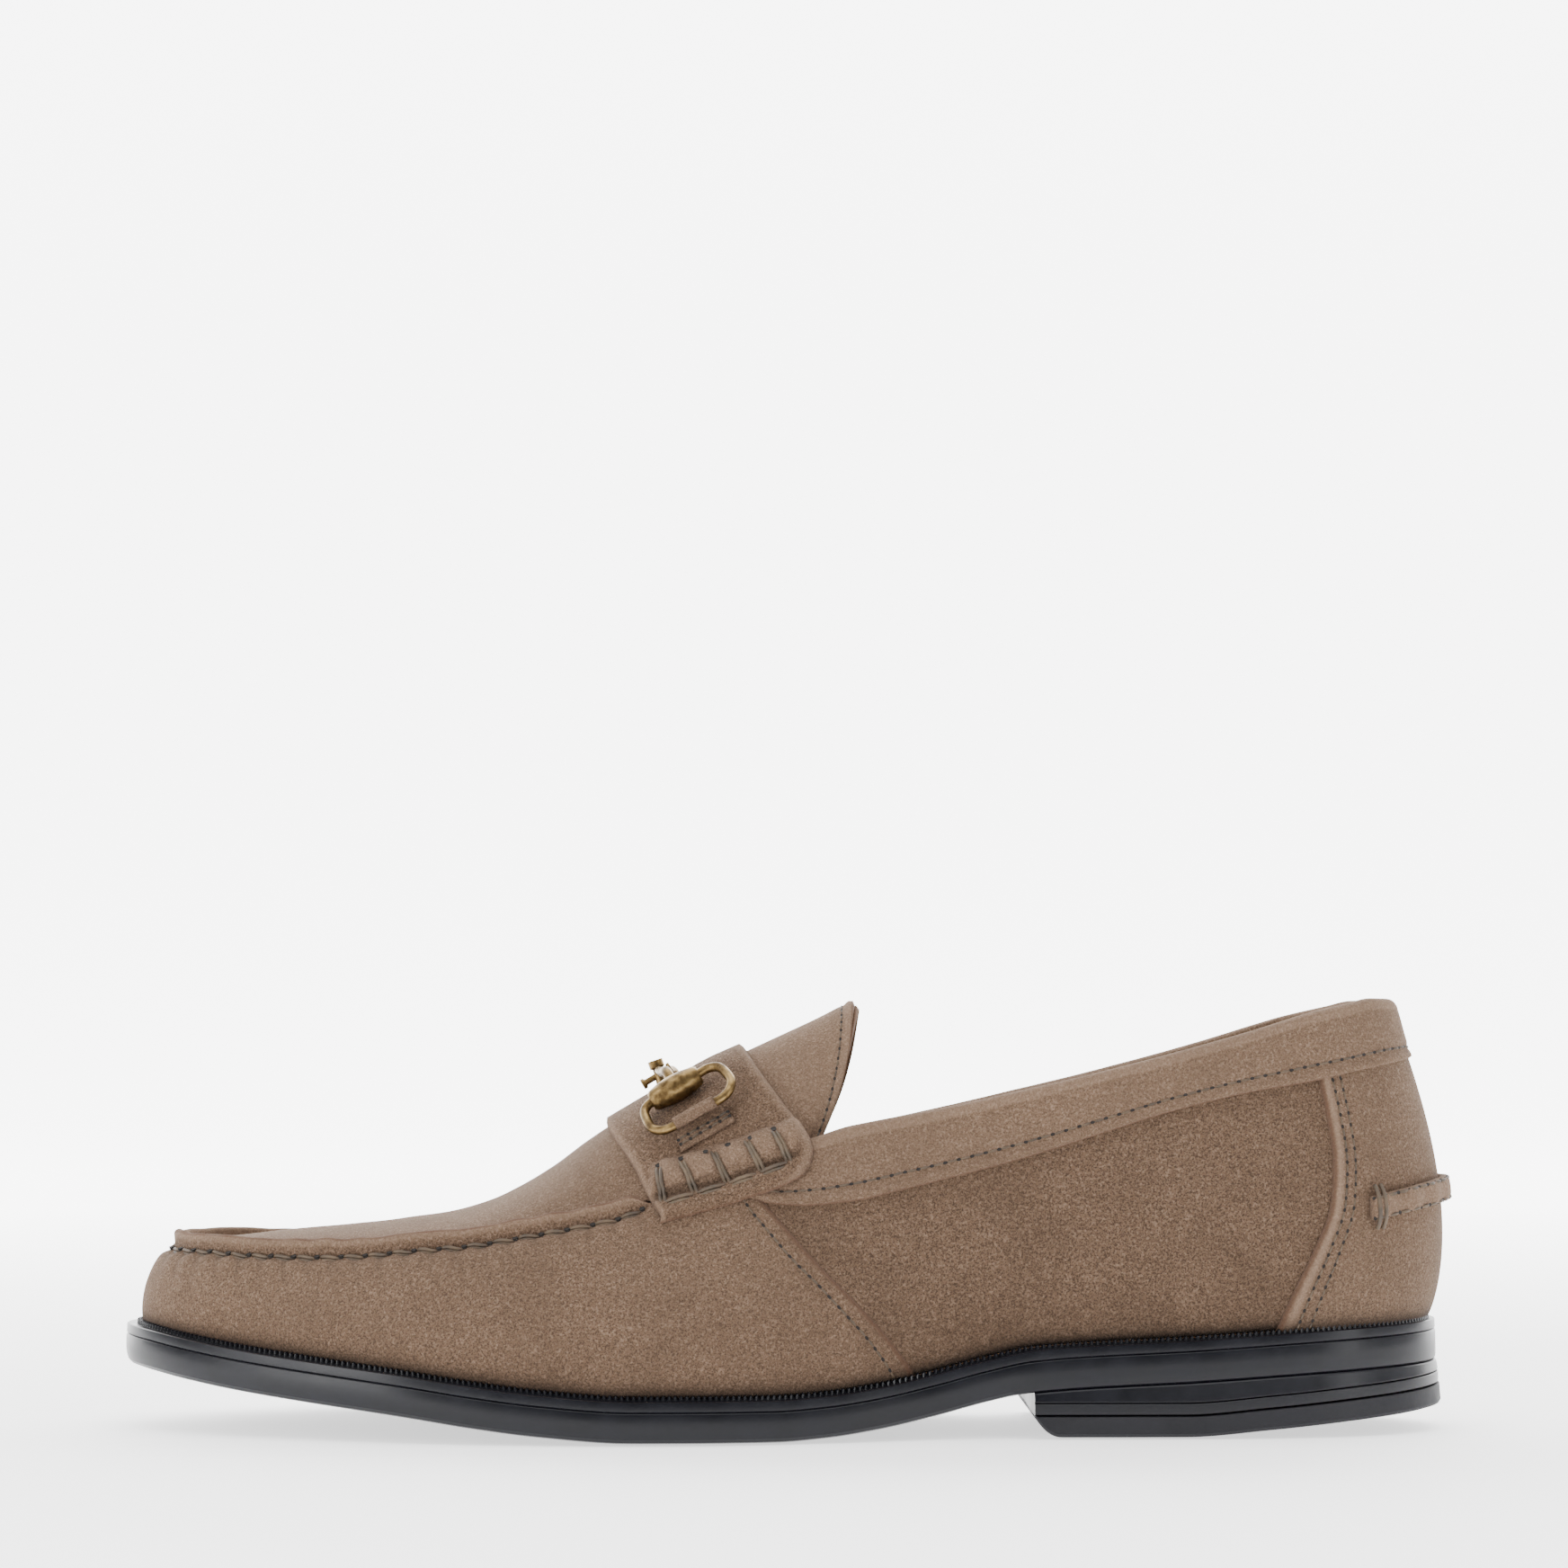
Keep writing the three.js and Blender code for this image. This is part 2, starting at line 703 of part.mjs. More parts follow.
// A sheet of the wall alone, past its own ends where a cutter needs that
function wallSheet(steps, low, high) {
  const points = [];
  const faces = [];
  const width = steps.length;
  for (let k = 0; k < loop_count; k += 1) {
    for (const v of steps) {
      points.push(wallPoint(turnAt(k), v));
    }
  }
  for (let k = 0; k < loop_count; k += 1) {
    const next = ((k + 1) % loop_count) * width;
    for (let j = 0; j < width - 1; j += 1) {
      const a = k * width + j;
      const b = next + j;
      faces.push([a, a + 1, b + 1], [a, b + 1, b]);
    }
  }
  return sheet(faces, low, high, points, normalsOf(points, faces));
}

// The skin's point and normal under a place in the side view, on the outer or the inner side
function onSkin(x, z, height, side) {
  const ray = new THREE.Ray(new THREE.Vector3(x, 200 * side, z), new THREE.Vector3(0, -side, 0));
  const hit = new THREE.Vector3();
  let best = null;
  for (const face of [...skin.wallFaces, ...skin.crownFaces.map((entry) => entry.face)]) {
    const corner = face.map((i) => skin.points[i].clone().addScaledVector(skin.normals[i], height));
    if (ray.intersectTriangle(corner[0], corner[1], corner[2], false, hit)) {
      const distance = hit.distanceTo(ray.origin);
      if (!best || distance < best.distance) {
        const normal = new THREE.Triangle(...corner).getNormal(new THREE.Vector3());
        best = { distance, point: hit.clone(), normal };
      }
    }
  }
  return best;
}

// A tube of a given section along points, with flat ends
function sweep(path, sectionAt) {
  const points = [];
  const sections = path.map((point, i) => sectionAt(point, i));
  const count = sections[0].length;
  for (const section of sections) {
    points.push(...section);
  }
  const faces = [];
  for (let i = 0; i < path.length - 1; i += 1) {
    for (let j = 0; j < count; j += 1) {
      const a = i * count + j;
      const b = i * count + ((j + 1) % count);
      faces.push([a, b, b + count], [a, b + count, a + count]);
    }
  }
  const end = (path.length - 1) * count;
  for (let j = 1; j < count - 1; j += 1) {
    faces.push([0, j + 1, j], [end, end + j, end + j + 1]);
  }
  return closedSolid(points, faces);
}

// A round wire along a line
function wireAlong(line, radius, steps, closed) {
  const curve = new THREE.CatmullRomCurve3(line, closed);
  const shape = new THREE.Shape().absarc(0, 0, radius, 0, 2 * Math.PI);
  return solidOf(
    new THREE.ExtrudeGeometry(shape, {
      steps,
      curveSegments: 3,
      bevelEnabled: false,
      extrudePath: curve,
    }),
  );
}

// ---- sole ----
const sheet_top = sole_thickness - welt_thickness - 0.3;
const outsole = slab(sole_rows, [
  ringAt(2.2, (x) => underZ(x)),
  ringAt(0.7, (x) => underZ(x) + 0.9),
  ringAt(0.1, (x) => underZ(x) + 2.2),
  ringAt(0, (x) => underZ(x) + sheet_top - 1.2),
  ringAt(0.5, (x) => underZ(x) + sheet_top),
]);
const welt = hoop([
  ringAt(0.5, (x) => seatZ(x) - welt_thickness),
  ringAt(0.2, (x) => seatZ(x) - 0.8),
  ringAt(1.2, (x) => seatZ(x)),
  ringAt((turn) => footInset(turn) + leather, (x) => seatZ(x)),
  ringAt((turn) => footInset(turn) + leather, (x) => seatZ(x) - welt_thickness),
]);
const insole = slab(sole_rows, [
  ringAt((turn) => footInset(turn) + leather + 0.9, (x) => underZ(x) + sheet_top + 0.3),
  ringAt(
    (turn) => footInset(turn) + leather + 0.7,
    (x) => underZ(x) + sheet_top + insole_thickness,
  ),
]);

const groove_z = (x) => treadZ(x) + top_lift_thickness;
const upper_groove_z = (x) => groove_z(x) + heel_groove_rise;
const breast_row = rowOf(breast_at);
const heel_block = slab(breast_row, [
  ringAt(0.3, (x) => groove_z(x) + 0.15),
  ringAt(-0.5 * heel_flare, (x) => groove_z(x) + 0.7),
  ringAt(-0.4 * heel_flare, (x) => upper_groove_z(x) - 0.45),
  ringAt(0.5, (x) => upper_groove_z(x)),
  ringAt(-0.3 * heel_flare, (x) => upper_groove_z(x) + 0.45),
  ringAt(0.2, (x) => underZ(x) - 0.9),
  ringAt(1, (x) => underZ(x) - 0.2),
]);
const breast_x = heel_back - breast_at * sole_length;
const top_lift = slab(breast_row, [
  ringAt(0.4, (x) => treadZ(x)),
  ringAt(-heel_flare, (x) => treadZ(x) + 0.9),
  ringAt(-0.6 * heel_flare, (x) => groove_z(x) - 0.7),
  ringAt(0.3, (x) => groove_z(x) - 0.15),
]).subtract(
  prism([
    { x: breast_x - 3, z: -2 },
    { x: breast_x + 6, z: -0.3 },
    { x: breast_x + 2.6, z: 0.9 },
    { x: breast_x + 0.6, z: 2.6 },
    { x: breast_x - 0.2, z: 5 },
    { x: breast_x - 3, z: 5 },
  ]),
);

// ---- upper ----
const throat_row = rowOf(throat_at);
const upper_faces = [
  ...skin.wallFaces,
  ...skin.crownFaces.filter((entry) => entry.row > throat_row).map((entry) => entry.face),
];
const body = sheet(upper_faces, -leather, 0);

function lipSection(point, i, path) {
  const before = path[Math.max(0, i - 1)];
  const after = path[Math.min(path.length - 1, i + 1)];
  const along = after.clone().sub(before).setZ(0).normalize();
  const side = new THREE.Vector3(-along.y, along.x, 0);
  const fade = THREE.MathUtils.smoothstep(Math.min(i, path.length - 1 - i), 0, 2);
  const height = lip_height * (0.35 + 0.65 * fade);
  const at = (inward, up) =>
    point
      .clone()
      .addScaledVector(side, -inward)
      .add(new THREE.Vector3(0, 0, up));
  const w = lip_width;
  return [
    at(0.1, -1.4),
    at(-0.05, height - 1),
    at(0.3 * w, height),
    at(0.7 * w, height),
    at(w, height - 1),
    at(w, -1.4),
  ];
}

const lip_first = rowOf(0.605);
const lip_path = [];
for (let k = lip_first; k <= loop_count - lip_first; k += 1) {
  lip_path.push(wallPoint(turnAt(k), 1));
}
const lip = sweep(lip_path, (point, i) => lipSection(point, i, lip_path));

const behind_seam = prism([...vamp_edge, { x: 120, z: 6 }, { x: 120, z: 110 }, { x: -84, z: 110 }]);
const quarter_faces = skin.wallFaces.filter((face) => shareAt(centreOf(face).x) < throat_at);
const quarter_skin = wallSheet(cut_steps, -quarter_step, 6).intersect(behind_seam);
const upper = largest(body.add(lip).subtract(quarter_skin));

// ---- pieces sewn on the quarter ----
const quarter_low = overlay_gap - quarter_step;
const quarter_high = quarter_low + overlay_thickness;
const quarter_sheet = sheet(quarter_faces, quarter_low, quarter_high);
const shifted = (points, dx, dz) => points.map((p) => ({ x: p.x + dx, z: p.z + dz }));
const strap_rear = strap_back.filter((p) => p.z > 56 && p.z < 74);
const band_region = [
  ...band_edge,
  { x: 150, z: 150 },
  { x: strap_rear[0].x, z: 150 },
  ...shifted(strap_rear, 0.5, 0),
];
const collar_band = largest(quarter_sheet.intersect(prism(band_region)));
const counter_region = [
  ...[...counter_edge].reverse(),
  ...shifted(band_edge, 0, -0.4).filter((p) => p.x > counter_edge[0].x - 0.2),
  { x: 150, z: 86 },
  { x: 150, z: 14 },
];
const heel_counter = largest(quarter_sheet.intersect(prism(counter_region)));
const heel_faces = skin.wallFaces.filter((face) => shareAt(centreOf(face).x) < 0.11);
const loop_low = quarter_high + overlay_gap;
const heel_loop = largest(
  sheet(heel_faces, loop_low, loop_low + loop_thickness).intersect(prism(loop_outline)),
);

// ---- tongue ----
// Its rows start as a copy of the crown's own row and end on the free edge's arch
function tonguePoint(along, across) {
  const front = crownPoint(turnOf(throat_at - 0.004 - 0.1 * along), across * 0.975);
  const arch = new THREE.Vector3(
    heel_back - sole_length * (tongue_top_at + (tongue_side_at - tongue_top_at) * Math.abs(across) ** 5),
    across * tongue_half_width,
    tongue_side_z + (tongue_top_z - tongue_side_z) * (1 - Math.abs(across) ** 2.3),
  );
  return front.lerp(arch, THREE.MathUtils.smoothstep(along, 0.42, 1));
}

const tongue_across = [-1, -0.93, -0.82, -0.66, -0.46, -0.23, 0, 0.23, 0.46, 0.66, 0.82, 0.93, 1];
const tongue_along = [0, 0.14, 0.28, 0.42, 0.54, 0.66, 0.78, 0.9, 1];

function buildTongue() {
  const points = [];
  for (const along of tongue_along) {
    for (const across of tongue_across) {
      points.push(tonguePoint(along, across));
    }
  }
  const width = tongue_across.length;
  const faces = [];
  for (let i = 0; i < tongue_along.length - 1; i += 1) {
    for (let j = 0; j < width - 1; j += 1) {
      const a = i * width + j;
      faces.push([a, a + width + 1, a + 1], [a, a + width, a + width + 1]);
    }
  }
  return sheet(faces, -tongue_thickness, 0, points, normalsOf(points, faces));
}

// ---- strap over the instep ----
const strap_faces = [
  ...skin.wallFaces.filter((face) => shareAt(centreOf(face).x) > 0.437),
  ...skin.crownFaces.map((entry) => entry.face),
].filter((face) => shareAt(centreOf(face).x) < 0.69 && centreOf(face).z > 36);
const strap_region = prism([...strap_front, ...strap_back]);
const strap_room = prism([...strap_front, ...shifted(strap_back, 0.5, 0)]);
const tongue = largest(
  buildTongue()
    .subtract(wallSheet(clear_steps, -leather - 0.5, 2.5))
    .subtract(sheet(strap_faces, 0, 8).intersect(strap_room)),
);
const strap_sheet = sheet(strap_faces, overlay_gap, overlay_gap + strap_thickness);

function rollOn(side) {
  const path = [];
  for (let i = 0; i < roll_line.length - 1; i += 1) {
    for (const t of [0, 0.5]) {
      path.push({
        x: THREE.MathUtils.lerp(roll_line[i].x, roll_line[i + 1].x, t),
        z: THREE.MathUtils.lerp(roll_line[i].z, roll_line[i + 1].z, t),
      });
    }
  }
  path.push(roll_line[roll_line.length - 1]);
  const base = overlay_gap + strap_thickness - 0.6;
  const places = path.map((p) => onSkin(p.x, p.z, base, side));
  return sweep(places, (place, i) => {
    const before = places[Math.max(0, i - 1)].point;
    const after = places[Math.min(places.length - 1, i + 1)].point;
    const along = after.clone().sub(before).normalize();
    const up = place.normal.clone();
    const across = new THREE.Vector3().crossVectors(up, along).normalize();
    const at = (a, b) => place.point.clone().addScaledVector(across, a).addScaledVector(up, b);
    const h = roll_height + 0.6;
    return [at(-4.4, 0), at(-3.4, 0.72 * h), at(0, h), at(3.4, 0.72 * h), at(4.4, 0)];
  });
}

const saddle_strap = largest(
  strap_sheet.intersect(strap_region).add(rollOn(-1)).add(rollOn(1)),
);

// ---- bit ----
const strap_top = overlay_gap + strap_thickness;
const bit_x = heel_back - bit_at * sole_length;
const link_x = heel_back - link_at * sole_length;

// The frame of one side's hardware: along the barrel, out of the strap and across
function bitFrame(side) {
  const lift = strap_top + barrel_radius + 0.35;
  const place = onSkin(bit_x, bit_z, lift, side);
  const tilt = THREE.MathUtils.degToRad(barrel_tilt);
  const up = place.normal.clone();
  const along = new THREE.Vector3(Math.cos(tilt), 0, Math.sin(tilt));
  along.addScaledVector(up, -along.dot(up)).normalize();
  const across = new THREE.Vector3().crossVectors(along, up).normalize();
  if (across.z > 0) {
    across.negate();
  }
  return { centre: place.point, along, up, across };
}

function framePoint(frame, along, across, up) {
  return frame.centre
    .clone()
    .addScaledVector(frame.along, along)
    .addScaledVector(frame.across, across)
    .addScaledVector(frame.up, up);
}

const barrel_profile = [
  { at: -0.5, radius: 0.62 },
  { at: -0.47, radius: 0.8 },
  { at: -0.3, radius: 0.84 },
  { at: -0.12, radius: 0.92 },
  { at: 0, radius: 1 },
  { at: 0.12, radius: 0.92 },
  { at: 0.3, radius: 0.84 },
  { at: 0.47, radius: 0.8 },
  { at: 0.5, radius: 0.62 },
];

function barrelSolid(frame, grow) {
  const profile = barrel_profile.map((p) => ({
    at: p.at * (barrel_length + 2 * grow),
    radius: p.radius * barrel_radius + grow,
  }));
  return sweep(profile, (p) => {
    const section = [];
    for (let i = 0; i < 12; i += 1) {
      const a = (Math.PI * i) / 6;
      section.push(framePoint(frame, p.at, p.radius * Math.cos(a), p.radius * Math.sin(a)));
    }
    return section;
  });
}

// The ring's line starts in the barrel and hangs down over the strap
const ring_shape = [
  { along: 0, across: 0 },
  { along: 0.36, across: -0.06 },
  { along: 0.47, across: 0.06 },
  { along: 0.52, across: 0.36 },
  { along: 0.52, across: 0.7 },
  { along: 0.42, across: 0.94 },
  { along: 0.2, across: 1 },
  { along: -0.1, across: 1 },
  { along: -0.36, across: 0.96 },
  { along: -0.47, across: 0.76 },
  { along: -0.49, across: 0.4 },
  { along: -0.46, across: 0.1 },
  { along: -0.36, across: -0.02 },
];

function ringLine(frame) {
  return ring_shape.map((p) =>
    framePoint(frame, p.along * ring_length, p.across * ring_depth, -1.1 * p.across),
  );
}

function bitSide(side) {
  const frame = bitFrame(side);
  const wire = wireAlong(ringLine(frame), wire_radius, 36, true);
  const wide = wireAlong(ringLine(frame), wire_radius + 0.35, 36, true);
  const ring = largest(wire.subtract(barrelSolid(frame, 0.25)));
  const arm = wireAlong(
    [
      framePoint(frame, 0, -1.2, 0.4),
      framePoint(frame, -0.8, -5.4, 1.2),
      new THREE.Vector3(link_x + 2.2, side * 8.6, link_z + 0.2),
      new THREE.Vector3(link_x + 0.6, side * 3.4, link_z + 0.9),
    ],
    1.6,
    12,
    false,
  );
  const barrel = barrelSolid(frame, 0).add(arm).subtract(wide);
  const low = strap_top + overlay_gap;
  const tab_faces = strap_faces.filter((face) => centreOf(face).y * side > 0);
  const plate = sheet(tab_faces, low, low + tab_thickness).intersect(prism(tab_outline));
  return { ring, barrel: largest(barrel), tab: largest(plate.subtract(wide)) };
}

const outer_bit = bitSide(-1);
const inner_bit = bitSide(1);

function boxSolid(x, y, z, dx, dy, dz) {
  const geometry = new THREE.BoxGeometry(dx, dy, dz, 1, 1, 1);
  geometry.translate(x, y, z);
  return solidOf(geometry);
}

const bit_link = boxSolid(link_x + 0.4, 0, link_z + 0.9, 5.2, 3.2, 4);

// ---- the finished group ----
const suede = { color: 0x8c7866, roughness: 0.95, metalness: 0 };
const lining = { color: 0xb39b7c, roughness: 0.8, metalness: 0 };
const rubber = { color: 0x17181b, roughness: 0.35, metalness: 0 };
const brass = { color: 0x8f7440, roughness: 0.4, metalness: 1 };

const part = new THREE.Group();
part.name = "bit_loafer";

function addNode(name, solid, look) {
  const mesh = new THREE.Mesh(geometryOf(solid), new THREE.MeshStandardMaterial(look));
  mesh.name = name;
  part.add(mesh);
}

addNode("outsole", outsole, rubber);
addNode("welt", welt, rubber);
addNode("heel_block", heel_block, rubber);
addNode("top_lift", top_lift, rubber);
addNode("insole", insole, lining);
addNode("upper", upper, suede);
addNode("tongue", tongue, suede);
addNode("saddle_strap", saddle_strap, suede);
addNode("collar_band", collar_band, suede);
addNode("heel_counter", heel_counter, suede);
addNode("heel_loop", heel_loop, suede);
addNode("bit_barrel_lateral", outer_bit.barrel, brass);
addNode("bit_barrel_medial", inner_bit.barrel, brass);
addNode("bit_ring_lateral", outer_bit.ring, brass);
addNode("bit_ring_medial", inner_bit.ring, brass);
addNode("bit_link", bit_link, brass);
addNode("bit_tab_lateral", outer_bit.tab, suede);
addNode("bit_tab_medial", inner_bit.tab, suede);

export default part;
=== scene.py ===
# %% [markdown]
# # A suede bit loafer, dressed over its measured frame
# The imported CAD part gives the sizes. This notebook lays the visible skin over it, piece by piece,
# from the same short tables: the sole's outline, the wall's lean and belly, and the crown over the instep.

# %% Frame
import math

import bpy
import numpy as np
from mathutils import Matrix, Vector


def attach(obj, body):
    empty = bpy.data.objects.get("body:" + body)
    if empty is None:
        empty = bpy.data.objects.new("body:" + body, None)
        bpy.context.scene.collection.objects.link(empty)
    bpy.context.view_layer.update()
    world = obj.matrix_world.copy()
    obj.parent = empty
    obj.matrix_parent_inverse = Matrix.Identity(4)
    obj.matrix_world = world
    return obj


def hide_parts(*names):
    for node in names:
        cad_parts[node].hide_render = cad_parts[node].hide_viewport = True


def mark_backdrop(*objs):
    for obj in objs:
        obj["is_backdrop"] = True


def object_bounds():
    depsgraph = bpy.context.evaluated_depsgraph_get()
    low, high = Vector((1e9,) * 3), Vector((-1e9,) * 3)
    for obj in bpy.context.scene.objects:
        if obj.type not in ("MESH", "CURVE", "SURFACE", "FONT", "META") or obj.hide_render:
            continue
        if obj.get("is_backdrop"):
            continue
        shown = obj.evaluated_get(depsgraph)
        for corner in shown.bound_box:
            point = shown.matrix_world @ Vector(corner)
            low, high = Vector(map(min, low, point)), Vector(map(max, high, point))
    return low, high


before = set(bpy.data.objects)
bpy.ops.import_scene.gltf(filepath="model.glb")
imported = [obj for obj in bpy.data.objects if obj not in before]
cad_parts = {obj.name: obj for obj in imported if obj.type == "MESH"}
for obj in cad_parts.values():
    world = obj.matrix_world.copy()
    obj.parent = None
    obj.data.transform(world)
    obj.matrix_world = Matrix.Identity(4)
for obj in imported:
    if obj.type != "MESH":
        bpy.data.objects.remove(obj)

cad_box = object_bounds()
print("CAD nodes:", len(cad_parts))

# %% [markdown]
# ## Lines through tables
# A shoe's last is drawn from a few measured sections. Each table below has one row per section, and a
# smooth line runs through a column without adding bumps, so a few numbers give the whole form.

# %% Smooth lines


def hermite(x, y, m, place):
    """Between two rows: both values, and both slopes, blended with the cubic Hermite weights."""
    i = np.clip(np.searchsorted(x, place, side="right") - 1, 0, len(x) - 2)
    span = x[i + 1] - x[i]
    t = np.clip((place - x[i]) / span, 0, 1)
    t2, t3 = t * t, t * t * t
    return (
        y[i] * (2 * t3 - 3 * t2 + 1)
        + y[i + 1] * (3 * t2 - 2 * t3)
        + span * (m[i] * (t3 - 2 * t2 + t) + m[i + 1] * (t3 - t2))
    )


def soft_line(places, values):
    """Slope at a row is the harmonic mean of its neighbours' slopes, or 0 at a peak."""
    x, y = np.array(places, float), np.array(values, float)
    h = np.diff(x)
    d = np.diff(y) / h
    m = np.zeros_like(y)
    m[0], m[-1] = d[0], d[-1]
    a, b = 2 * h[1:] + h[:-1], h[1:] + 2 * h[:-1]
    rising = d[:-1] * d[1:] > 0
    safe = np.where(rising, d[:-1], 1), np.where(rising, d[1:], 1)
    m[1:-1] = np.where(rising, (a + b) / (a / safe[0] + b / safe[1]), 0)
    return lambda place: hermite(x, y, m, np.asarray(place, float))


def smooth(x):
    """0 below 0, 1 above 1, and 3x^2 - 2x^3 between."""
    t = np.clip(x, 0, 1)
    return t * t * (3 - 2 * t)


# %% [markdown]
# ## The last's own numbers
# Lengths are in millimetres. `at` is the share of the outsole's length from the heel to the toe.

# %% Tables
sole_length, ball_width, heel_back = 300.0, 100.0, 73.0
heel_lift, tread_rise, toe_spring, sole_thickness = 15.2, 5.1, 13.8, 9.0
welt_width, seam_lean, belly, instep_rise = 4.5, 15.0, 5.0, 26.4
toe_height, throat_height, back_height = 40.0, 63.8, 94.0
gap, leather, quarter_step = 0.32, 2.6, 0.9

outline_at = [0, .011, .053, .1, .16, .24, .316, .386, .465, .542, .606, .671, .723, .769, .82, .88,
              .94, .977, 1]
outline_out = [0, .13, .25, .305, .33, .34, .345, .37, .44, .49, .5, .49, .47, .44, .39, .32, .23, .13,
               -.05]
outline_in = [0, .13, .25, .3, .325, .315, .29, .28, .3, .35, .405, .46, .49, .5, .485, .43, .34, .235,
              .05]
under_at = [0, .085, .188, .313, .346, .386, .425, .465, .503, .606, .671, .723, .769, .82, .86, .9, .94,
            .977, 1]
under_heel = [1, .92, .79, .64, .51, .31, .15, .045, 0, 0, 0, 0, 0, 0, 0, 0, 0, 0, 0]
under_toe = [0, 0, 0, 0, 0, 0, 0, 0, 0, 0, .09, .22, .36, .49, .59, .7, .83, .95, 1]
wall_at = [0, .011, .03, .053, .1, .16, .24, .316, .386, .43, .465, .493, .537, .585, .624, .665, .703,
           .744, .785, .823, .863, .905, .95, 1]
wall_foot = [.62, .62, .62, .62, .62, .64, .68, .74, .84, .9, .94, .97, .98, 1, 1, 1, 1, 1, 1, 1, 1, 1,
             .94, .84]
wall_lean_out = [.44, .44, .45, .46, .4, .3, .28, .3, .42, .58, .76, .84, .98, .98, .92, .84, .76, .66,
                 .57, .48, .4, .36, .4, .46]
wall_lean_in = [.44, .44, .45, .46, .4, .3, .22, .1, .04, .02, .04, .08, .16, .28, .42, .56, .66, .74,
                .75, .7, .6, .48, .44, .46]
wall_belly_out = [.96, .94, .9, .84, .7, .55, .48, .48, .56, .6, .6, .6, .58, .54, .5, .44, .4, .34, .3,
                  .26, .22, .18, .14, .12]
wall_belly_in = [.96, .94, .9, .84, .72, .66, .7, .8, .92, .96, .96, .92, .82, .7, .58, .48, .4, .34, .3,
                 .26, .22, .18, .14, .12]
wall_round = [0, 0, 0, 0, 0, 0, 0, 0, 0, 0, 0, 0, .08, .2, .34, .5, .64, .76, .88, .95, 1, 1, 1, 1]
wall_vamp = [1, 1, 1, 1, 1, 1, 1, 1, 1, 1, .97, .85, .655, .48, .33, .235, .15, .075, .03, -.02, -.035,
             -.03, -.01, 0]
wall_quarter = [.98, 1.02, 1.02, .985, .9, .74, .53, .345, .18, .08, 0, 0, 0, 0, 0, 0, 0, 0, 0, 0, 0, 0,
                0, 0]
crown_at = [0, .46, .5, .537, .585, .624, .64, .67, .7, .72, .77, .82, .86, .9, .94, .977, 1]
crown_rise = [1, 1, 1.02, 1, .86, .74, .66, .48, .35, .29, .225, .215, .19, .145, .085, .05, 0]


def turn_of(share):
    """The turn is the angle whose cosine is 1 - 2 x share: 0 at the heel, pi at the toe."""
    return np.arccos(1 - 2 * np.clip(share, 0, 1))


def share_of(turn):
    return (1 - np.cos(turn)) / 2


def two_sided(outer, inner, at=wall_at):
    """The outer side's line for turns up to pi, and the inner side's line on the way back."""
    a, b = soft_line(at, outer), soft_line(at, inner)

    def line(turn):
        t = np.mod(turn, 2 * np.pi)
        return np.where(t <= np.pi, a(share_of(t)), b(share_of(t)))

    return line


knot_turn = np.concatenate([turn_of(np.array(outline_at)), 2 * np.pi - turn_of(np.array(outline_at))[-2:0:-1]])
knot_y = np.concatenate([-np.array(outline_out), np.array(outline_in)[-2:0:-1]]) * ball_width
lap_turn = np.concatenate([knot_turn[-2:] - 2 * np.pi, knot_turn, knot_turn[:3] + 2 * np.pi])
lap_y = np.concatenate([knot_y[-2:], knot_y, knot_y[:3]])
lap_step = np.diff(lap_y) / np.diff(lap_turn)
lap_h = np.diff(lap_turn)
lap_m = np.zeros_like(lap_y)
lap_m[1:-1] = (lap_step[:-1] * lap_h[1:] + lap_step[1:] * lap_h[:-1]) / (lap_h[1:] + lap_h[:-1])


def outline_y(turn):
    return hermite(lap_turn, lap_y, lap_m, np.mod(turn, 2 * np.pi))


under_heel_line, under_toe_line = soft_line(under_at, under_heel), soft_line(under_at, under_toe)
tread_line = soft_line([0, .03, .08, .139, .203, 1], [1, .84, .59, .28, 0, 0])
foot_line = two_sided(wall_foot, wall_foot)
lean_line = two_sided(wall_lean_out, wall_lean_in)
belly_line = two_sided(wall_belly_out, wall_belly_in)
round_line = two_sided(wall_round, wall_round)
vamp_line = two_sided(wall_vamp, wall_vamp)
quarter_line = two_sided(wall_quarter, wall_quarter)
crown_line = soft_line(crown_at, crown_rise)
print("sections:", len(wall_at), "of the wall,", len(crown_at), "of the crown")

# %% [markdown]
# ## The two skins
# The wall climbs from the sole to the topline, and the crown spans from seam to seam over the toes and the
# instep. Both are functions of the turn and of a share across, so any patch of leather can be laid on them.

# %% Wall and crown


def plan(turn, inset):
    """The outline's point, moved inwards along the outline's own normal."""

    def at(t):
        return heel_back - sole_length * share_of(np.mod(t, 2 * np.pi)), outline_y(t)

    x, y = at(turn)
    x0, y0 = at(turn - 0.004)
    x1, y1 = at(turn + 0.004)
    dx, dy = x1 - x0, y1 - y0
    size = np.sqrt(dx * dx + dy * dy)
    return x + dy / size * inset, y - dx / size * inset


def under_z(x):
    share = np.clip((heel_back - x) / sole_length, 0, 1)
    return heel_lift * under_heel_line(share) + toe_spring * under_toe_line(share)


def tread_z(x):
    return tread_rise * tread_line(np.clip((heel_back - x) / sole_length, 0, 1))


def wall_heights(turn):
    foot = foot_line(turn) * welt_width
    x, _ = plan(turn, foot)
    low = under_z(x) + sole_thickness + gap
    top = toe_height + vamp_line(turn) * (throat_height - toe_height)
    top = top + quarter_line(turn) * (back_height - throat_height)
    return foot, low, top


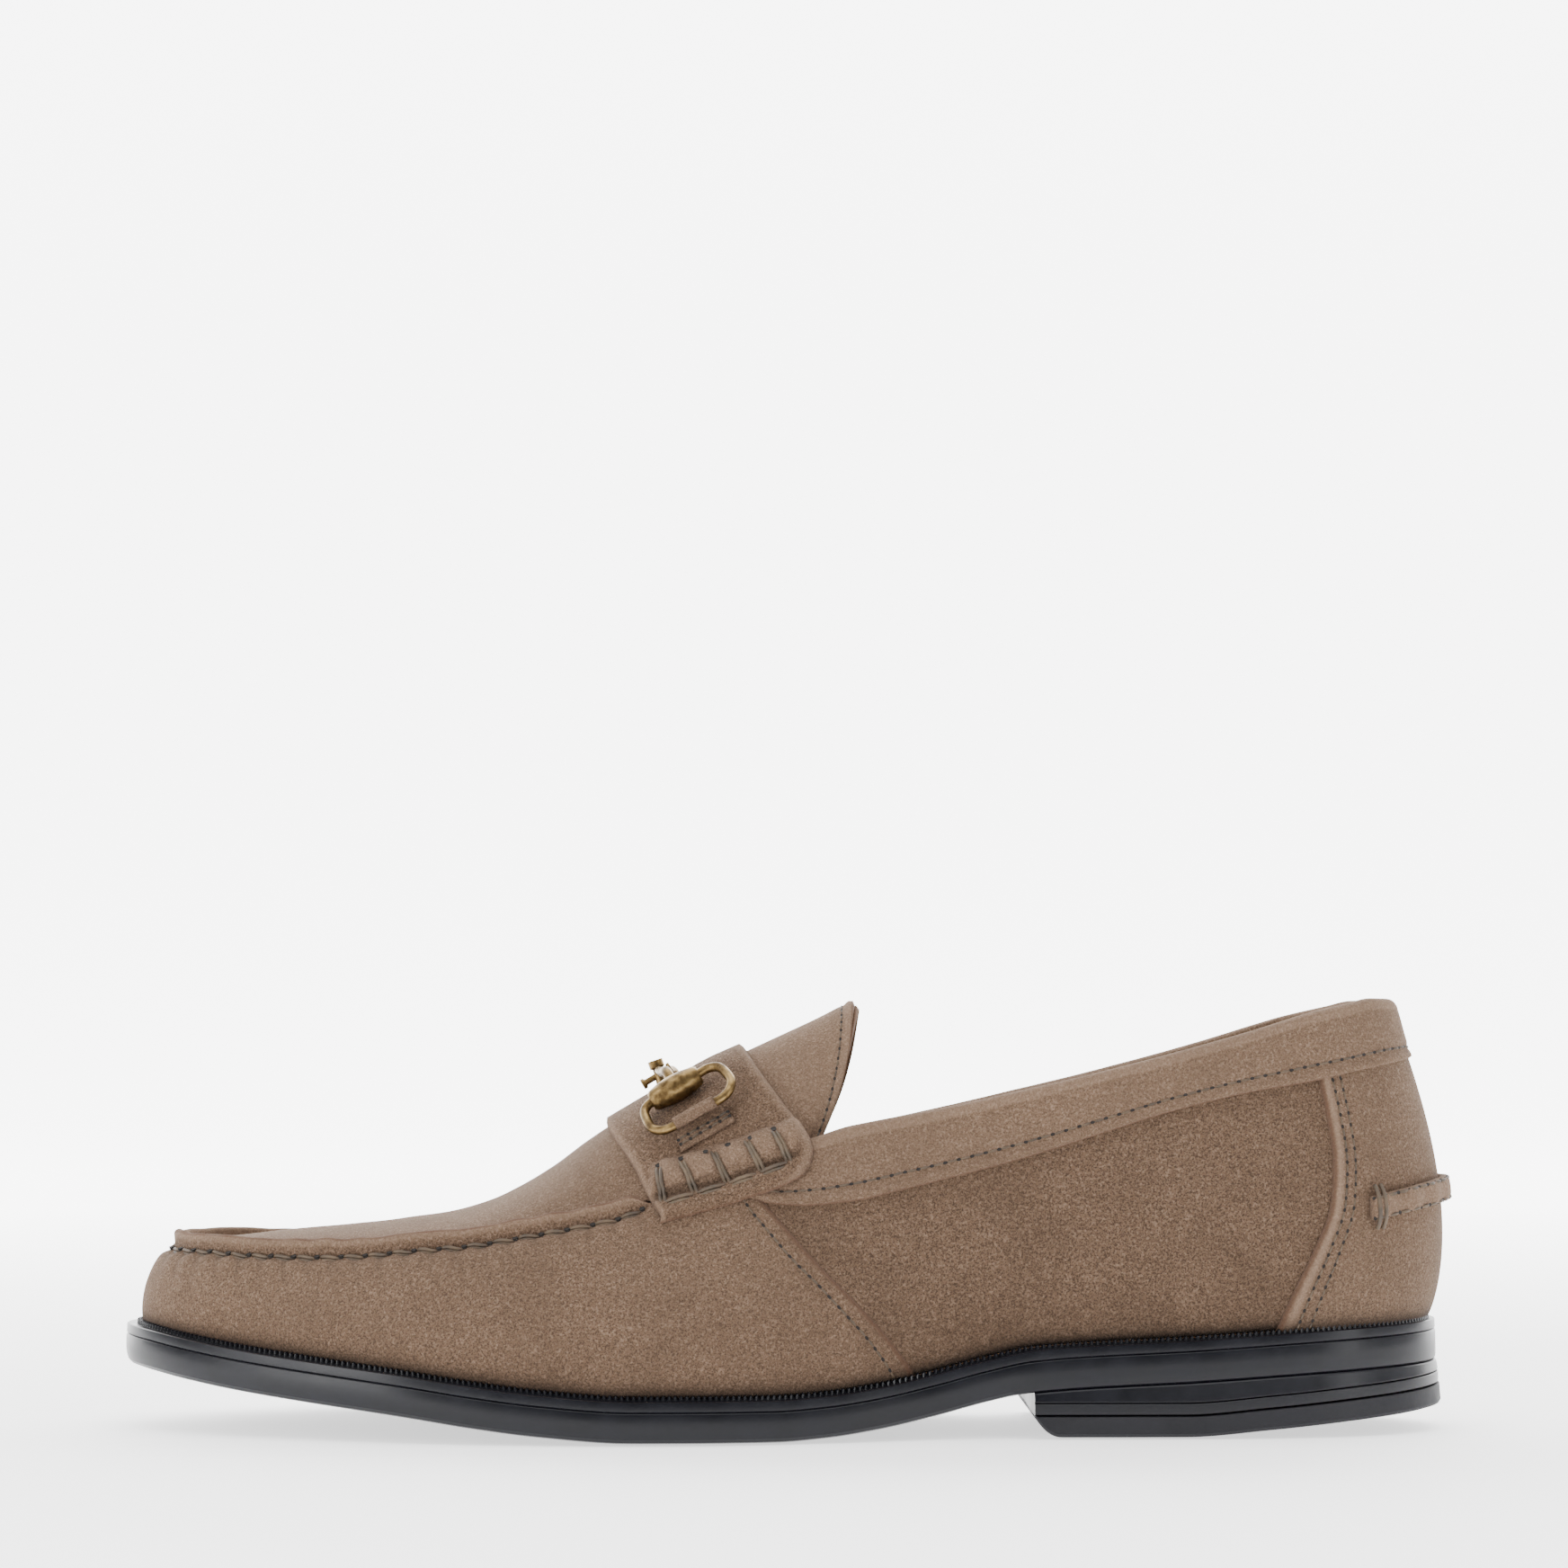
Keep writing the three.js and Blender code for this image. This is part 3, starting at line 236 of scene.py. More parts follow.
def wall(turn, v):
    """Plan point moved in by the lean (a quarter round or a square of v) and out by the belly's sine."""
    turn, v = np.broadcast_arrays(np.asarray(turn, float), np.asarray(v, float))
    foot, low, top = wall_heights(turn)
    r = round_line(turn)
    w = np.clip(v, 0, 1)
    shoulder = 1 - np.sqrt(1 - w * w)
    lean = seam_lean * lean_line(turn) * ((1 - r) * v * v + r * shoulder)
    out = belly * belly_line(turn) * np.sin(np.pi * w ** 0.7)
    x, y = plan(turn, foot + lean - out)
    return np.stack([x, y, low + v * (top - low)], -1)


def crown(turn, across):
    """A straight line from seam to seam, raised by the crown times 1 - |across|^2.2."""
    turn, across = np.broadcast_arrays(np.asarray(turn, float), np.asarray(across, float))
    a, b = wall(turn, 1.0), wall(2 * np.pi - turn, 1.0)
    t = ((across + 1) / 2)[..., None]
    p = a + (b - a) * t
    p[..., 2] += instep_rise * crown_line(share_of(turn)) * (1 - np.abs(across) ** 2.2)
    return p


def normals(p):
    """Cross product of the two grid directions, made one long."""
    n = np.cross(np.gradient(p, axis=1), np.gradient(p, axis=0))
    size = np.linalg.norm(n, axis=-1, keepdims=True)
    return n / np.maximum(size, 1e-9)


def even_turns(count, start=0.0, stop=2 * np.pi):
    """Turns that are evenly spaced along the outline's own length."""
    t = np.linspace(start, stop, 4000)
    x, y = plan(t, 0)
    run = np.concatenate([[0], np.cumsum(np.hypot(np.diff(x), np.diff(y)))])
    return np.interp(np.linspace(0, run[-1], count), run, t)


# %% [markdown]
# ## Meshes from grids
# Every surface below is a grid of points. One helper turns such a grid into a mesh, and takes any value
# per point, such as how much painted shade or painted light the leather gets there, as an attribute for its material.


def finish_mesh(name, points, faces, material, values=None, merge=False):
    mesh = bpy.data.meshes.new(name)
    mesh.from_pydata((np.asarray(points).reshape(-1, 3) / 1000).tolist(), [], faces)
    mesh.update()
    for key, value in (values or {}).items():
        layer = mesh.attributes.new(key, "FLOAT", "POINT")
        layer.data.foreach_set("value", np.asarray(value, np.float32).ravel())
    if merge:
        import bmesh

        bm = bmesh.new()
        bm.from_mesh(mesh)
        bmesh.ops.remove_doubles(bm, verts=bm.verts, dist=1e-6)
        bmesh.ops.recalc_face_normals(bm, faces=bm.faces)
        bm.to_mesh(mesh)
        bm.free()
    mesh.polygons.foreach_set("use_smooth", np.ones(len(mesh.polygons), bool))
    mesh.materials.append(material)
    obj = bpy.data.objects.new(name, mesh)
    bpy.context.scene.collection.objects.link(obj)
    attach(obj, "root")
    print(f"{name}: {len(mesh.polygons)} faces")
    return obj


def grid_faces(n, m, wrap_rows=False, wrap_columns=False, flip=False):
    """Four corners per cell: (i, j), (i, j+1), (i+1, j+1), (i+1, j), taken round where a side wraps."""
    i = np.arange(n if wrap_rows else n - 1)[:, None]
    j = np.arange(m if wrap_columns else m - 1)[None, :]
    i2, j2 = (i + 1) % n, (j + 1) % m
    quad = np.stack([i * m + j, i * m + j2, i2 * m + j2, i2 * m + j], -1).reshape(-1, 4)
    return (quad[:, ::-1] if flip else quad).tolist()


def grid_piece(name, p, material, values=None, wrap_rows=False, wrap_columns=False, flip=False, thick=0, merge=False):
    n, m = p.shape[:2]
    faces = grid_faces(n, m, wrap_rows, wrap_columns, flip)
    obj = finish_mesh(name, p, faces, material, values, merge)
    if thick:
        solid = obj.modifiers.new("thickness", "SOLIDIFY")
        solid.thickness = thick / 1000
        solid.offset = -1
    return obj


def wobble(p, size, seed):
    """Three slow sine waves in different directions, from -1 to 1: the unevenness of worked leather."""
    a = np.sin(p[..., 0] / size + 1.7 * seed + 0.6 * np.sin(p[..., 2] / size * 1.3))
    b = np.sin(p[..., 1] / size * 1.21 + 2.3 * seed + p[..., 2] / size * 0.7)
    c = np.sin((p[..., 0] + p[..., 2]) / size * 0.57 + 0.9 * seed)
    return (a + b + c) / 3


# %% [markdown]
# ## Finishes
# Suede is a nap of fine fibres: it is matt and a little mottled. Painted light lightens rolled edges and
# upward faces, and painted shade darkens it above the sole and in creases. One node group mixes those from masks.

# %% Node helpers


def node(tree, kind, **inputs):
    n = tree.nodes.new(kind)
    for key, value in inputs.items():
        if hasattr(n, key):
            setattr(n, key, value)
        else:
            n.inputs[key.replace("_", " ")].default_value = value
    return n


def noise(tree, coords, scale, detail=2.0, rough=0.5):
    n = tree.nodes.new("ShaderNodeTexNoise")
    n.inputs["Scale"].default_value = scale
    n.inputs["Detail"].default_value = detail
    n.inputs["Roughness"].default_value = rough
    tree.links.new(coords, n.inputs["Vector"])
    return n.outputs["Fac"]


def ramp(tree, value, low, high, to_low=0.0, to_high=1.0):
    n = tree.nodes.new("ShaderNodeMapRange")
    for key, number in (("From Min", low), ("From Max", high), ("To Min", to_low), ("To Max", to_high)):
        n.inputs[key].default_value = number
    tree.links.new(value, n.inputs["Value"])
    return n.outputs["Result"]


def mix(tree, factor, a, b):
    n = tree.nodes.new("ShaderNodeMix")
    n.data_type = "RGBA"
    for socket, value in ((n.inputs[0], factor), (n.inputs[6], a), (n.inputs[7], b)):
        if isinstance(value, (tuple, float)):
            socket.default_value = value
        else:
            tree.links.new(value, socket)
    return n.outputs[2]


def math_node(tree, operation, a, b):
    n = tree.nodes.new("ShaderNodeMath")
    n.operation = operation
    for socket, value in zip(n.inputs, (a, b)):
        if isinstance(value, float):
            socket.default_value = value
        else:
            tree.links.new(value, socket)
    return n.outputs[0]


def attribute(tree, name):
    n = tree.nodes.new("ShaderNodeAttribute")
    n.attribute_name = name
    return n.outputs["Fac"]


def material(name):
    m = bpy.data.materials.new(name)
    m.use_nodes = True
    return m, m.node_tree, m.node_tree.nodes["Principled BSDF"]


# %% Suede group


def nap_group():
    """Colour: base mixed with a light and a dark tone by three noises. Height: the finest noise."""
    g = bpy.data.node_groups.new("suede nap", "ShaderNodeTree")
    for key in ("Base", "Light", "Dark"):
        g.interface.new_socket(name=key, in_out="INPUT", socket_type="NodeSocketColor")
    for key in ("Shade", "Lit"):
        g.interface.new_socket(name=key, in_out="INPUT", socket_type="NodeSocketFloat")
    g.interface.new_socket(name="Color", in_out="OUTPUT", socket_type="NodeSocketColor")
    g.interface.new_socket(name="Height", in_out="OUTPUT", socket_type="NodeSocketFloat")
    source = g.nodes.new("NodeGroupInput")
    out = g.nodes.new("NodeGroupOutput")
    where = g.nodes.new("ShaderNodeTexCoord").outputs["Object"]
    fine = noise(g, where, 2900, 3.0, 0.65)
    speck = noise(g, where, 1700, 2.0, 0.6)
    cloud = noise(g, where, 60, 3.0, 0.55)
    tone = mix(g, ramp(g, fine, 0.42, 0.57), source.outputs["Dark"], source.outputs["Base"])
    tone = mix(g, ramp(g, speck, 0.5, 0.7, 0.0, 0.6), tone, source.outputs["Light"])
    tone = mix(g, ramp(g, cloud, 0.42, 0.72, 0.0, 0.3), tone, source.outputs["Dark"])
    # Painted light: the Lit mask mixes in the light tone.
    painted_light = mix(g, source.outputs["Lit"], tone, source.outputs["Light"])
    # Painted shade: the Shade mask mixes in a near-black brown.
    shaded = mix(g, source.outputs["Shade"], painted_light, (0.026, 0.018, 0.013, 1.0))
    g.links.new(shaded, out.inputs["Color"])
    height = math_node(g, "ADD", fine, math_node(g, "MULTIPLY", speck, 0.6))
    g.links.new(height, out.inputs["Height"])
    return g


nap = nap_group()


def suede(name, base, light, dark, bump=0.22):
    m, tree, shader = material(name)
    g = tree.nodes.new("ShaderNodeGroup")
    g.node_tree = nap
    for key, colour in (("Base", base), ("Light", light), ("Dark", dark)):
        g.inputs[key].default_value = (*colour, 1.0)
    # These two masks carry painted shade and painted light.
    tree.links.new(attribute(tree, "painted_shade"), g.inputs["Shade"])
    tree.links.new(attribute(tree, "painted_light"), g.inputs["Lit"])
    raw = mix(tree, attribute(tree, "raw"), g.outputs["Color"], (0.095, 0.049, 0.03, 1.0))
    tree.links.new(raw, shader.inputs["Base Color"])
    b = tree.nodes.new("ShaderNodeBump")
    b.inputs["Strength"].default_value = bump
    b.inputs["Distance"].default_value = 0.0004
    tree.links.new(g.outputs["Height"], b.inputs["Height"])
    tree.links.new(b.outputs["Normal"], shader.inputs["Normal"])
    shader.inputs["Roughness"].default_value = 0.92
    shader.inputs["Specular IOR Level"].default_value = 0.15
    shader.inputs["Sheen Weight"].default_value = 0.12
    shader.inputs["Sheen Roughness"].default_value = 0.5
    shader.inputs["Sheen Tint"].default_value = (0.75, 0.6, 0.48, 1)
    return m


taupe = suede("taupe suede", (0.146, 0.09, 0.057), (0.285, 0.193, 0.134), (0.051, 0.03, 0.018), 0.8)
flesh = suede("flesh side of the leather", (0.15, 0.085, 0.053), (0.2, 0.125, 0.083), (0.08, 0.042, 0.026), 0.4)

# %% Lining, rubber, brass, thread


def plain(name, colour, roughness, fine_scale, strength, coat=0.0, metal=0.0, spread=0.15, rough_spread=0.1):
    """Colour and roughness each swing with a cloud noise, and a finer noise gives the relief."""
    m, tree, shader = material(name)
    where = tree.nodes.new("ShaderNodeTexCoord").outputs["Object"]
    cloud = noise(tree, where, fine_scale / 12, 3.0)
    fine = noise(tree, where, fine_scale, 3.0)
    dark = tuple(c * (1 - spread) for c in colour) + (1.0,)
    light = tuple(min(1, c * (1 + spread)) for c in colour) + (1.0,)
    tree.links.new(mix(tree, ramp(tree, cloud, 0.35, 0.65), dark, light), shader.inputs["Base Color"])
    tree.links.new(
        ramp(tree, cloud, 0.3, 0.7, roughness - rough_spread, roughness + rough_spread), shader.inputs["Roughness"]
    )
    b = tree.nodes.new("ShaderNodeBump")
    b.inputs["Strength"].default_value = strength
    b.inputs["Distance"].default_value = 0.0002
    tree.links.new(fine, b.inputs["Height"])
    tree.links.new(b.outputs["Normal"], shader.inputs["Normal"])
    shader.inputs["Metallic"].default_value = metal
    shader.inputs["Coat Weight"].default_value = coat
    shader.inputs["Coat Roughness"].default_value = 0.12
    shader.inputs["Specular IOR Level"].default_value = 0.5 if metal or not coat else 0.27
    return m


lining = plain("lining leather", (0.3, 0.2, 0.12), 0.6, 900, 0.25)
rubber = plain("polished rubber", (0.005, 0.0053, 0.008), 0.33, 1500, 0.05, coat=0.02, spread=0.2, rough_spread=0.05)
dull_rubber = plain("moulded tread rubber", (0.013, 0.013, 0.016), 0.6, 1200, 0.2, coat=0.01)
thread = plain("waxed thread", (0.077, 0.052, 0.031), 0.65, 3000, 0.5, spread=0.4)
# Painted shade: near-black discs stand for the shade inside the needle holes.
hole_shade = plain("needle hole shade", (0.012, 0.009, 0.007), 0.9, 900, 0.1)


def brass_material():
    """Bare brass on the high places, a brown-black patina in the noise's hollows."""
    m, tree, shader = material("antique brass")
    where = tree.nodes.new("ShaderNodeTexCoord").outputs["Object"]
    blot = noise(tree, where, 400, 3.0, 0.55)
    fine = noise(tree, where, 1800, 3.0, 0.6)
    patina = ramp(tree, blot, 0.36, 0.6)
    tree.links.new(mix(tree, patina, (0.085, 0.052, 0.021, 1.0), (0.24, 0.16, 0.066, 1.0)), shader.inputs["Base Color"])
    tree.links.new(ramp(tree, blot, 0.35, 0.65, 0.52, 0.34), shader.inputs["Roughness"])
    b = tree.nodes.new("ShaderNodeBump")
    b.inputs["Strength"].default_value = 0.1
    b.inputs["Distance"].default_value = 0.0001
    tree.links.new(math_node(tree, "ADD", blot, math_node(tree, "MULTIPLY", fine, 0.3)), b.inputs["Height"])
    tree.links.new(b.outputs["Normal"], shader.inputs["Normal"])
    shader.inputs["Metallic"].default_value = 1.0
    return m


brass = brass_material()
print("finishes:", len(bpy.data.materials))

# %% [markdown]
# ## Thread and wire
# A stitch is a short tube that dips into the leather at both ends. A whole row of them is one array: the
# stitches' places along the seam, times the steps along each, times the points round the thread.

# %% Tubes and stitches


def tube(name, path, radius, material, closed=False, sides=12, values=None):
    """Rings of points round a path, turned by the path's direction and a fixed up vector."""
    path = np.asarray(path, float)
    if closed:
        along = np.roll(path, -1, 0) - np.roll(path, 1, 0)
    else:
        along = np.gradient(path, axis=0)
    along /= np.linalg.norm(along, axis=1, keepdims=True)
    up = np.broadcast_to([0.13, 0.21, 0.97], along.shape)
    side = np.cross(along, up)
    side /= np.linalg.norm(side, axis=1, keepdims=True)
    lift = np.cross(side, along)
    angle = np.linspace(0, 2 * np.pi, sides, endpoint=False)
    radius = np.broadcast_to(radius, len(path))[:, None, None]
    ring = side[:, None] * np.cos(angle)[None, :, None] + lift[:, None] * np.sin(angle)[None, :, None]
    p = path[:, None] + ring * radius
    faces = grid_faces(len(path), sides, wrap_rows=closed, wrap_columns=True, flip=True)
    if not closed:
        faces.append(list(range(sides)))
        faces.append(list(range((len(path) - 1) * sides, len(path) * sides))[::-1])
    return finish_mesh(name, p, faces, material, values, merge=True)


def spline(points, count, closed=False):
    """Centripetal curve through the points, read at evenly spaced lengths."""
    pts = np.asarray(points, float)
    if closed:
        pts = np.concatenate([pts[-2:], pts, pts[:3]])
    run = np.concatenate([[0], np.cumsum(np.linalg.norm(np.diff(pts, axis=0), axis=1) ** 0.5)])
    h = np.diff(run)[:, None]
    step = np.diff(pts, axis=0) / h
    m = np.zeros_like(pts)
    m[0], m[-1] = step[0], step[-1]
    m[1:-1] = (step[:-1] * h[1:] + step[1:] * h[:-1]) / (h[1:] + h[:-1])
    low, high = (run[2], run[-3]) if closed else (run[0], run[-1])
    t = np.linspace(low, high, 40 * len(pts))
    fine = np.stack([hermite(run, pts[:, k], m[:, k], t) for k in range(pts.shape[1])], -1)
    far = np.concatenate([[0], np.cumsum(np.linalg.norm(np.diff(fine, axis=0), axis=1))])
    want = np.linspace(0, far[-1], count, endpoint=not closed)
    return np.stack([np.interp(want, far, fine[:, k]) for k in range(pts.shape[1])], -1)


def stitch_row(name, line, up, pitch, share, radius, lift, holes=True, slant=0.0, hole_size=0.0, hole_rise=0.07):
    """Stitch k runs over `share` of its pitch, lifted by a sine and sunk at both ends by its radius."""
    far = np.concatenate([[0], np.cumsum(np.linalg.norm(np.diff(line, axis=0), axis=1))])
    count = max(1, int(round(far[-1] / pitch)))
    pitch = far[-1] / count
    t = np.linspace(0, 1, 7)
    where = (np.arange(count)[:, None] + 0.5 + (t[None] - 0.5) * share) * pitch
    centre = np.stack([np.interp(where, far, line[:, k]) for k in range(3)], -1)
    n = np.stack([np.interp(where, far, up[:, k]) for k in range(3)], -1)
    n /= np.linalg.norm(n, axis=-1, keepdims=True)
    along = np.gradient(centre, axis=1)
    along /= np.linalg.norm(along, axis=-1, keepdims=True)
    side = np.cross(along, n)
    rise = lift * np.sin(np.pi * t) ** 0.6 - 0.6 * radius * (1 - np.sin(np.pi * t))
    centre = centre + n * rise[None, :, None] + side * (slant * (t - 0.5))[None, :, None]
    sides = 6
    angle = np.linspace(0, 2 * np.pi, sides, endpoint=False)
    fat = radius * (0.35 + 0.65 * np.sin(np.pi * np.clip(t, 0.02, 0.98)) ** 0.35)
    ring = side[:, :, None] * np.cos(angle)[:, None] + n[:, :, None] * np.sin(angle)[:, None]
    p = centre[:, :, None] + ring * fat[None, :, None, None]
    one = np.array(grid_faces(7, sides, wrap_columns=True, flip=True))
    faces = (one[None] + (np.arange(count) * 7 * sides)[:, None, None]).reshape(-1, 4).tolist()
    caps = np.arange(count)[:, None] * 7 * sides
    faces += (caps + np.arange(sides)[None]).tolist()
    faces += (caps + 6 * sides + np.arange(sides)[None, ::-1]).tolist()
    finish_mesh(name, p, faces, thread)
    # Each needle hole gets a near-black disc: painted shade of the hole.
    if holes:
        spot = (np.arange(count + 1)) * pitch
        c = np.stack([np.interp(spot, far, line[:, k]) for k in range(3)], -1)
        m = np.stack([np.interp(spot, far, up[:, k]) for k in range(3)], -1)
        m /= np.linalg.norm(m, axis=-1, keepdims=True)
        d = np.gradient(c, axis=0)
        d /= np.linalg.norm(d, axis=-1, keepdims=True)
        s = np.cross(d, m)
        size = hole_size or max(radius * 1.0, pitch * (1 - share) * 0.62)
        broad = hole_size or radius * 1.35
        a8 = np.linspace(0, 2 * np.pi, 8, endpoint=False)
        ring = d[:, None] * np.cos(a8)[None, :, None] * size + s[:, None] * np.sin(a8)[None, :, None] * broad
        low = c[:, None] - m[:, None] * 0.3 + ring * 0.8
        high = c[:, None] + m[:, None] * hole_rise + ring
        top = (c + m * (hole_rise + 0.03))[:, None]
        p = np.concatenate([low, high, top], 1)
        wall_faces = np.array(grid_faces(2, 8, wrap_columns=True, flip=True))
        k = np.arange(8)
        lid = np.stack([8 + k, 8 + (k + 1) % 8, np.full(8, 16)], -1)
        base = np.arange(len(c)) * 17
        faces = (wall_faces[None] + base[:, None, None]).reshape(-1, 4).tolist()
        faces += (lid[None] + base[:, None, None]).reshape(-1, 3).tolist()
        faces += (np.arange(8)[None, ::-1] + base[:, None]).tolist()
        finish_mesh(name + "_hole_shade", p, faces, hole_shade)


# %% [markdown]
# ## The sole
# A cemented rubber sole has a bevelled top edge with a milled welt against the upper, a smooth polished
# side, and a heel built of lifts. Each is a stack of rings round the outline, closed by shrinking the last
# ring onto the sole's middle line.

# %% Sole rings
ring_turns = even_turns(1401)[:-1]


def ring(turns, inset, height):
    x, y = plan(turns, inset)
    return np.stack([x, y, height(x)], -1)


def closing(turns, ring_points, height, steps=(0.12, 0.45, 1.0)):
    """Rings between the last one and the middle line, which both sides share point by point."""
    mirror = 2 * np.pi - turns
    order = np.argsort(turns)
    y_other = np.interp(mirror, turns[order], ring_points[order, 1], period=2 * np.pi)
    x_other = np.interp(mirror, turns[order], ring_points[order, 0], period=2 * np.pi)
    middle = np.stack([(ring_points[:, 0] + x_other) / 2, (ring_points[:, 1] + y_other) / 2], -1)
    rings = []
    for s in steps:
        xy = ring_points[:, :2] + (middle - ring_points[:, :2]) * s
        rings.append(np.concatenate([xy, height(xy[:, 0])[:, None]], 1))
    return rings


def crisp(obj, degrees=24):
    """Edges that turn by more than the angle keep a hard line; the rest is shaded smooth."""
    obj.data.set_sharp_from_angle(angle=math.radians(degrees))
    return obj


def stack_piece(name, turns, insets_heights, low, high, material):
    rings = [ring(turns, inset, height) for inset, height in insets_heights]
    rings = closing(turns, rings[0], low)[::-1] + rings + closing(turns, rings[-1], high)
    return crisp(grid_piece(name, np.stack(rings), material, wrap_columns=True, flip=True, merge=True))


def above(z):
    return lambda x: under_z(x) + z


sheet_top = sole_thickness - 2.3
mirrored = np.concatenate([even_turns(500, 0, np.pi), 2 * np.pi - even_turns(500, 0, np.pi)[-2:0:-1]])


def under_edge(forepart, heel):
    """The lower edge's inset: rounded under the forepart, sharp where the heel is glued on."""
    x = heel_back - sole_length * share_of(mirrored)
    return heel + (forepart - heel) * (1 - smooth((x + 27) / 5))


outsole = stack_piece(
    "outsole_body",
    mirrored,
    [(under_edge(2.2, 0.4), above(0)), (under_edge(1.2, 0.12), above(0.3)), (under_edge(0.5, 0.02), above(1.0)),
     (under_edge(0.15, 0), above(2.2)), (0, above(3.6)),
     (0, above(sheet_top - 0.7)), (0.12, above(sheet_top - 0.3)), (0.35, above(sheet_top - 0.05)),
     (0.9, above(sheet_top))],
    above(0),
    above(sheet_top),
    rubber,
)
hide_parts("outsole")

# %% Welt
teeth = even_turns(3121)[:-1]
tooth = np.where(np.arange(len(teeth)) % 6 < 3, 1.0, 0.0)
tooth = (tooth + np.roll(tooth, 1)) / 2
foot = foot_line(teeth) * welt_width


def welt_ring(inset, z, cut=0.0, drop=0.0):
    x, y = plan(teeth, inset + cut * tooth)
    return np.stack([x, y, under_z(x) + z - drop * tooth], -1)


welt_rings = [
    welt_ring(foot + 2.4, 9.0), welt_ring(foot + 2.4, 6.75), welt_ring(0.35, 6.75), welt_ring(0.12, 6.95),
    welt_ring(0.12, 8.6), welt_ring(0.2, 8.85), welt_ring(0.5, 9.0), welt_ring(foot - 1.35, 9.02),
    welt_ring(foot - 1.3, 9.95, 0.6, 0.6), welt_ring(foot - 0.4, 10.15, 0.3, 0.7), welt_ring(foot + 0.5, 9.5),
]
welt = crisp(grid_piece("welt_strip", np.stack(welt_rings), rubber, wrap_rows=True, wrap_columns=True, merge=True))
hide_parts("welt")

# %% Heel
breast_turn = float(turn_of(0.313))
half = even_turns(260, 0, breast_turn)
heel_turns = np.concatenate([half, 2 * np.pi - half[::-1][:-1]])


def groove_z(x):
    return tread_z(x) + 4.6


def front_cut(z):
    """The top lift's front corner is rounded: its underside climbs in the last 6 mm before the breast."""
    def height(x):
        return z(x) + 4.4 * np.clip((-14.9 - x) / 6.0, 0, 1) ** 2.2
    return height


def heel_stack(name, rows, material, low, high):
    rings = [ring(heel_turns, inset, height) for inset, height in rows]
    count = len(heel_turns)
    low_ring, high_ring = rings[0], rings[-1]
    pair = (count - np.arange(count)) % count
    bottom, top = [], []
    for s in (0.25, 0.6, 1.0):
        for source, store, height in ((low_ring, bottom, low), (high_ring, top, high)):
            middle = (source + source[pair]) / 2
            p = source + (middle - source) * s
            p[:, 2] = height(p[:, 0])
            store.append(p)
    return crisp(grid_piece(name, np.stack(bottom[::-1] + rings + top), material, wrap_columns=True, flip=True, merge=True))


block = heel_stack(
    "heel_stack",
    [(0.3, lambda x: groove_z(x) + 0.1), (-0.45, lambda x: groove_z(x) + 0.4), (-0.5, lambda x: groove_z(x) + 1),
     (-0.45, lambda x: groove_z(x) + 2.5), (-0.3, lambda x: groove_z(x) + 2.65), (0.35, lambda x: groove_z(x) + 2.8),
     (-0.25, lambda x: groove_z(x) + 2.95), (-0.4, lambda x: groove_z(x) + 3.2), (-0.1, lambda x: under_z(x) - 0.55),
     (0.08, lambda x: under_z(x) - 0.3), (0.45, lambda x: under_z(x) - 0.12)],
    rubber,
    lambda x: groove_z(x) + 0.1,
    lambda x: under_z(x) - 0.12,
)
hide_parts("heel_block")
lift = heel_stack(
    "top_lift_body",
    [(0.2, front_cut(tread_z)), (-0.6, front_cut(lambda x: tread_z(x) + 0.2)),
     (-0.95, front_cut(lambda x: tread_z(x) + 0.8)), (-0.7, lambda x: groove_z(x) - 0.2 - 0.0 * x),
     (-0.5, lambda x: groove_z(x) - 0.1), (0.3, lambda x: groove_z(x) - 0.05)],
    dull_rubber,
    front_cut(tread_z),
    lambda x: groove_z(x) - 0.05,
)
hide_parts("top_lift")

# %% [markdown]
# ## The upper's panels
# The quarter wraps the heel, and the vamp laps over it at the side seam. Both are patches of the wall: for
# each height, the turn where the seam crosses is found by halving, and the patch runs from seam to seam.

# %% Seam lines
vamp_edge = soft_line([6, 13.6, 20.6, 28.5, 36.3, 44.9, 51.7, 58], [-45, -47.1, -51.7, -58.6, -66.4, -74.2, -80.1, -84])
band_low = soft_line(
    [-90, -80.2, -71.6, -60.4, -48.5, -36.6, -20.7, -4.8, 11.1, 29, 45.4, 68.6, 90],
    [52.6, 51.4, 50.7, 51.6, 54.2, 57.1, 61.4, 66.4, 71.3, 75.5, 78.2, 82.8, 86],
)
counter_edge = soft_line([14, 23, 30.9, 39.8, 50.5, 60.4, 69.3, 75.8, 82], [30, 33.1, 36.5, 41, 45.4, 46.3, 45.4, 44.3, 43])


def turn_at(v, edge, side, low=0.2, high=2.6):
    """Halving on the turn until the wall's x at this v meets the edge's x at that height."""
    a, b = np.full(np.shape(v), low), np.full(np.shape(v), high)
    for _ in range(40):
        mid = (a + b) / 2
        p = wall(mid if side < 0 else 2 * np.pi - mid, v)
        ahead = p[..., 0] > edge(p[..., 2])
        a, b = np.where(ahead, mid, a), np.where(ahead, b, mid)
    return (a + b) / 2


def v_at(turn, z_line):
    """The share of the wall's height where the wall meets a line z(x), by repeated correction."""
    v = np.full(np.shape(turn), 0.6)
    _, low, top = wall_heights(turn)
    for _ in range(12):
        v = (z_line(wall(turn, v)[..., 0]) - low) / (top - low)
    return v


def shade_near_sole(p):
    """Painted shade within a few millimetres of the sole, fading upwards."""
    rise = p[..., 2] - under_z(p[..., 0]) - sole_thickness
    return np.clip(0.78 * np.exp(-((rise / 2.6) ** 2)) + 0.16 * np.exp(-rise / 9), 0, 1)


def lay(p, height):
    """The surface moved along its own normals."""
    return p + normals(p) * np.asarray(height)[..., None]


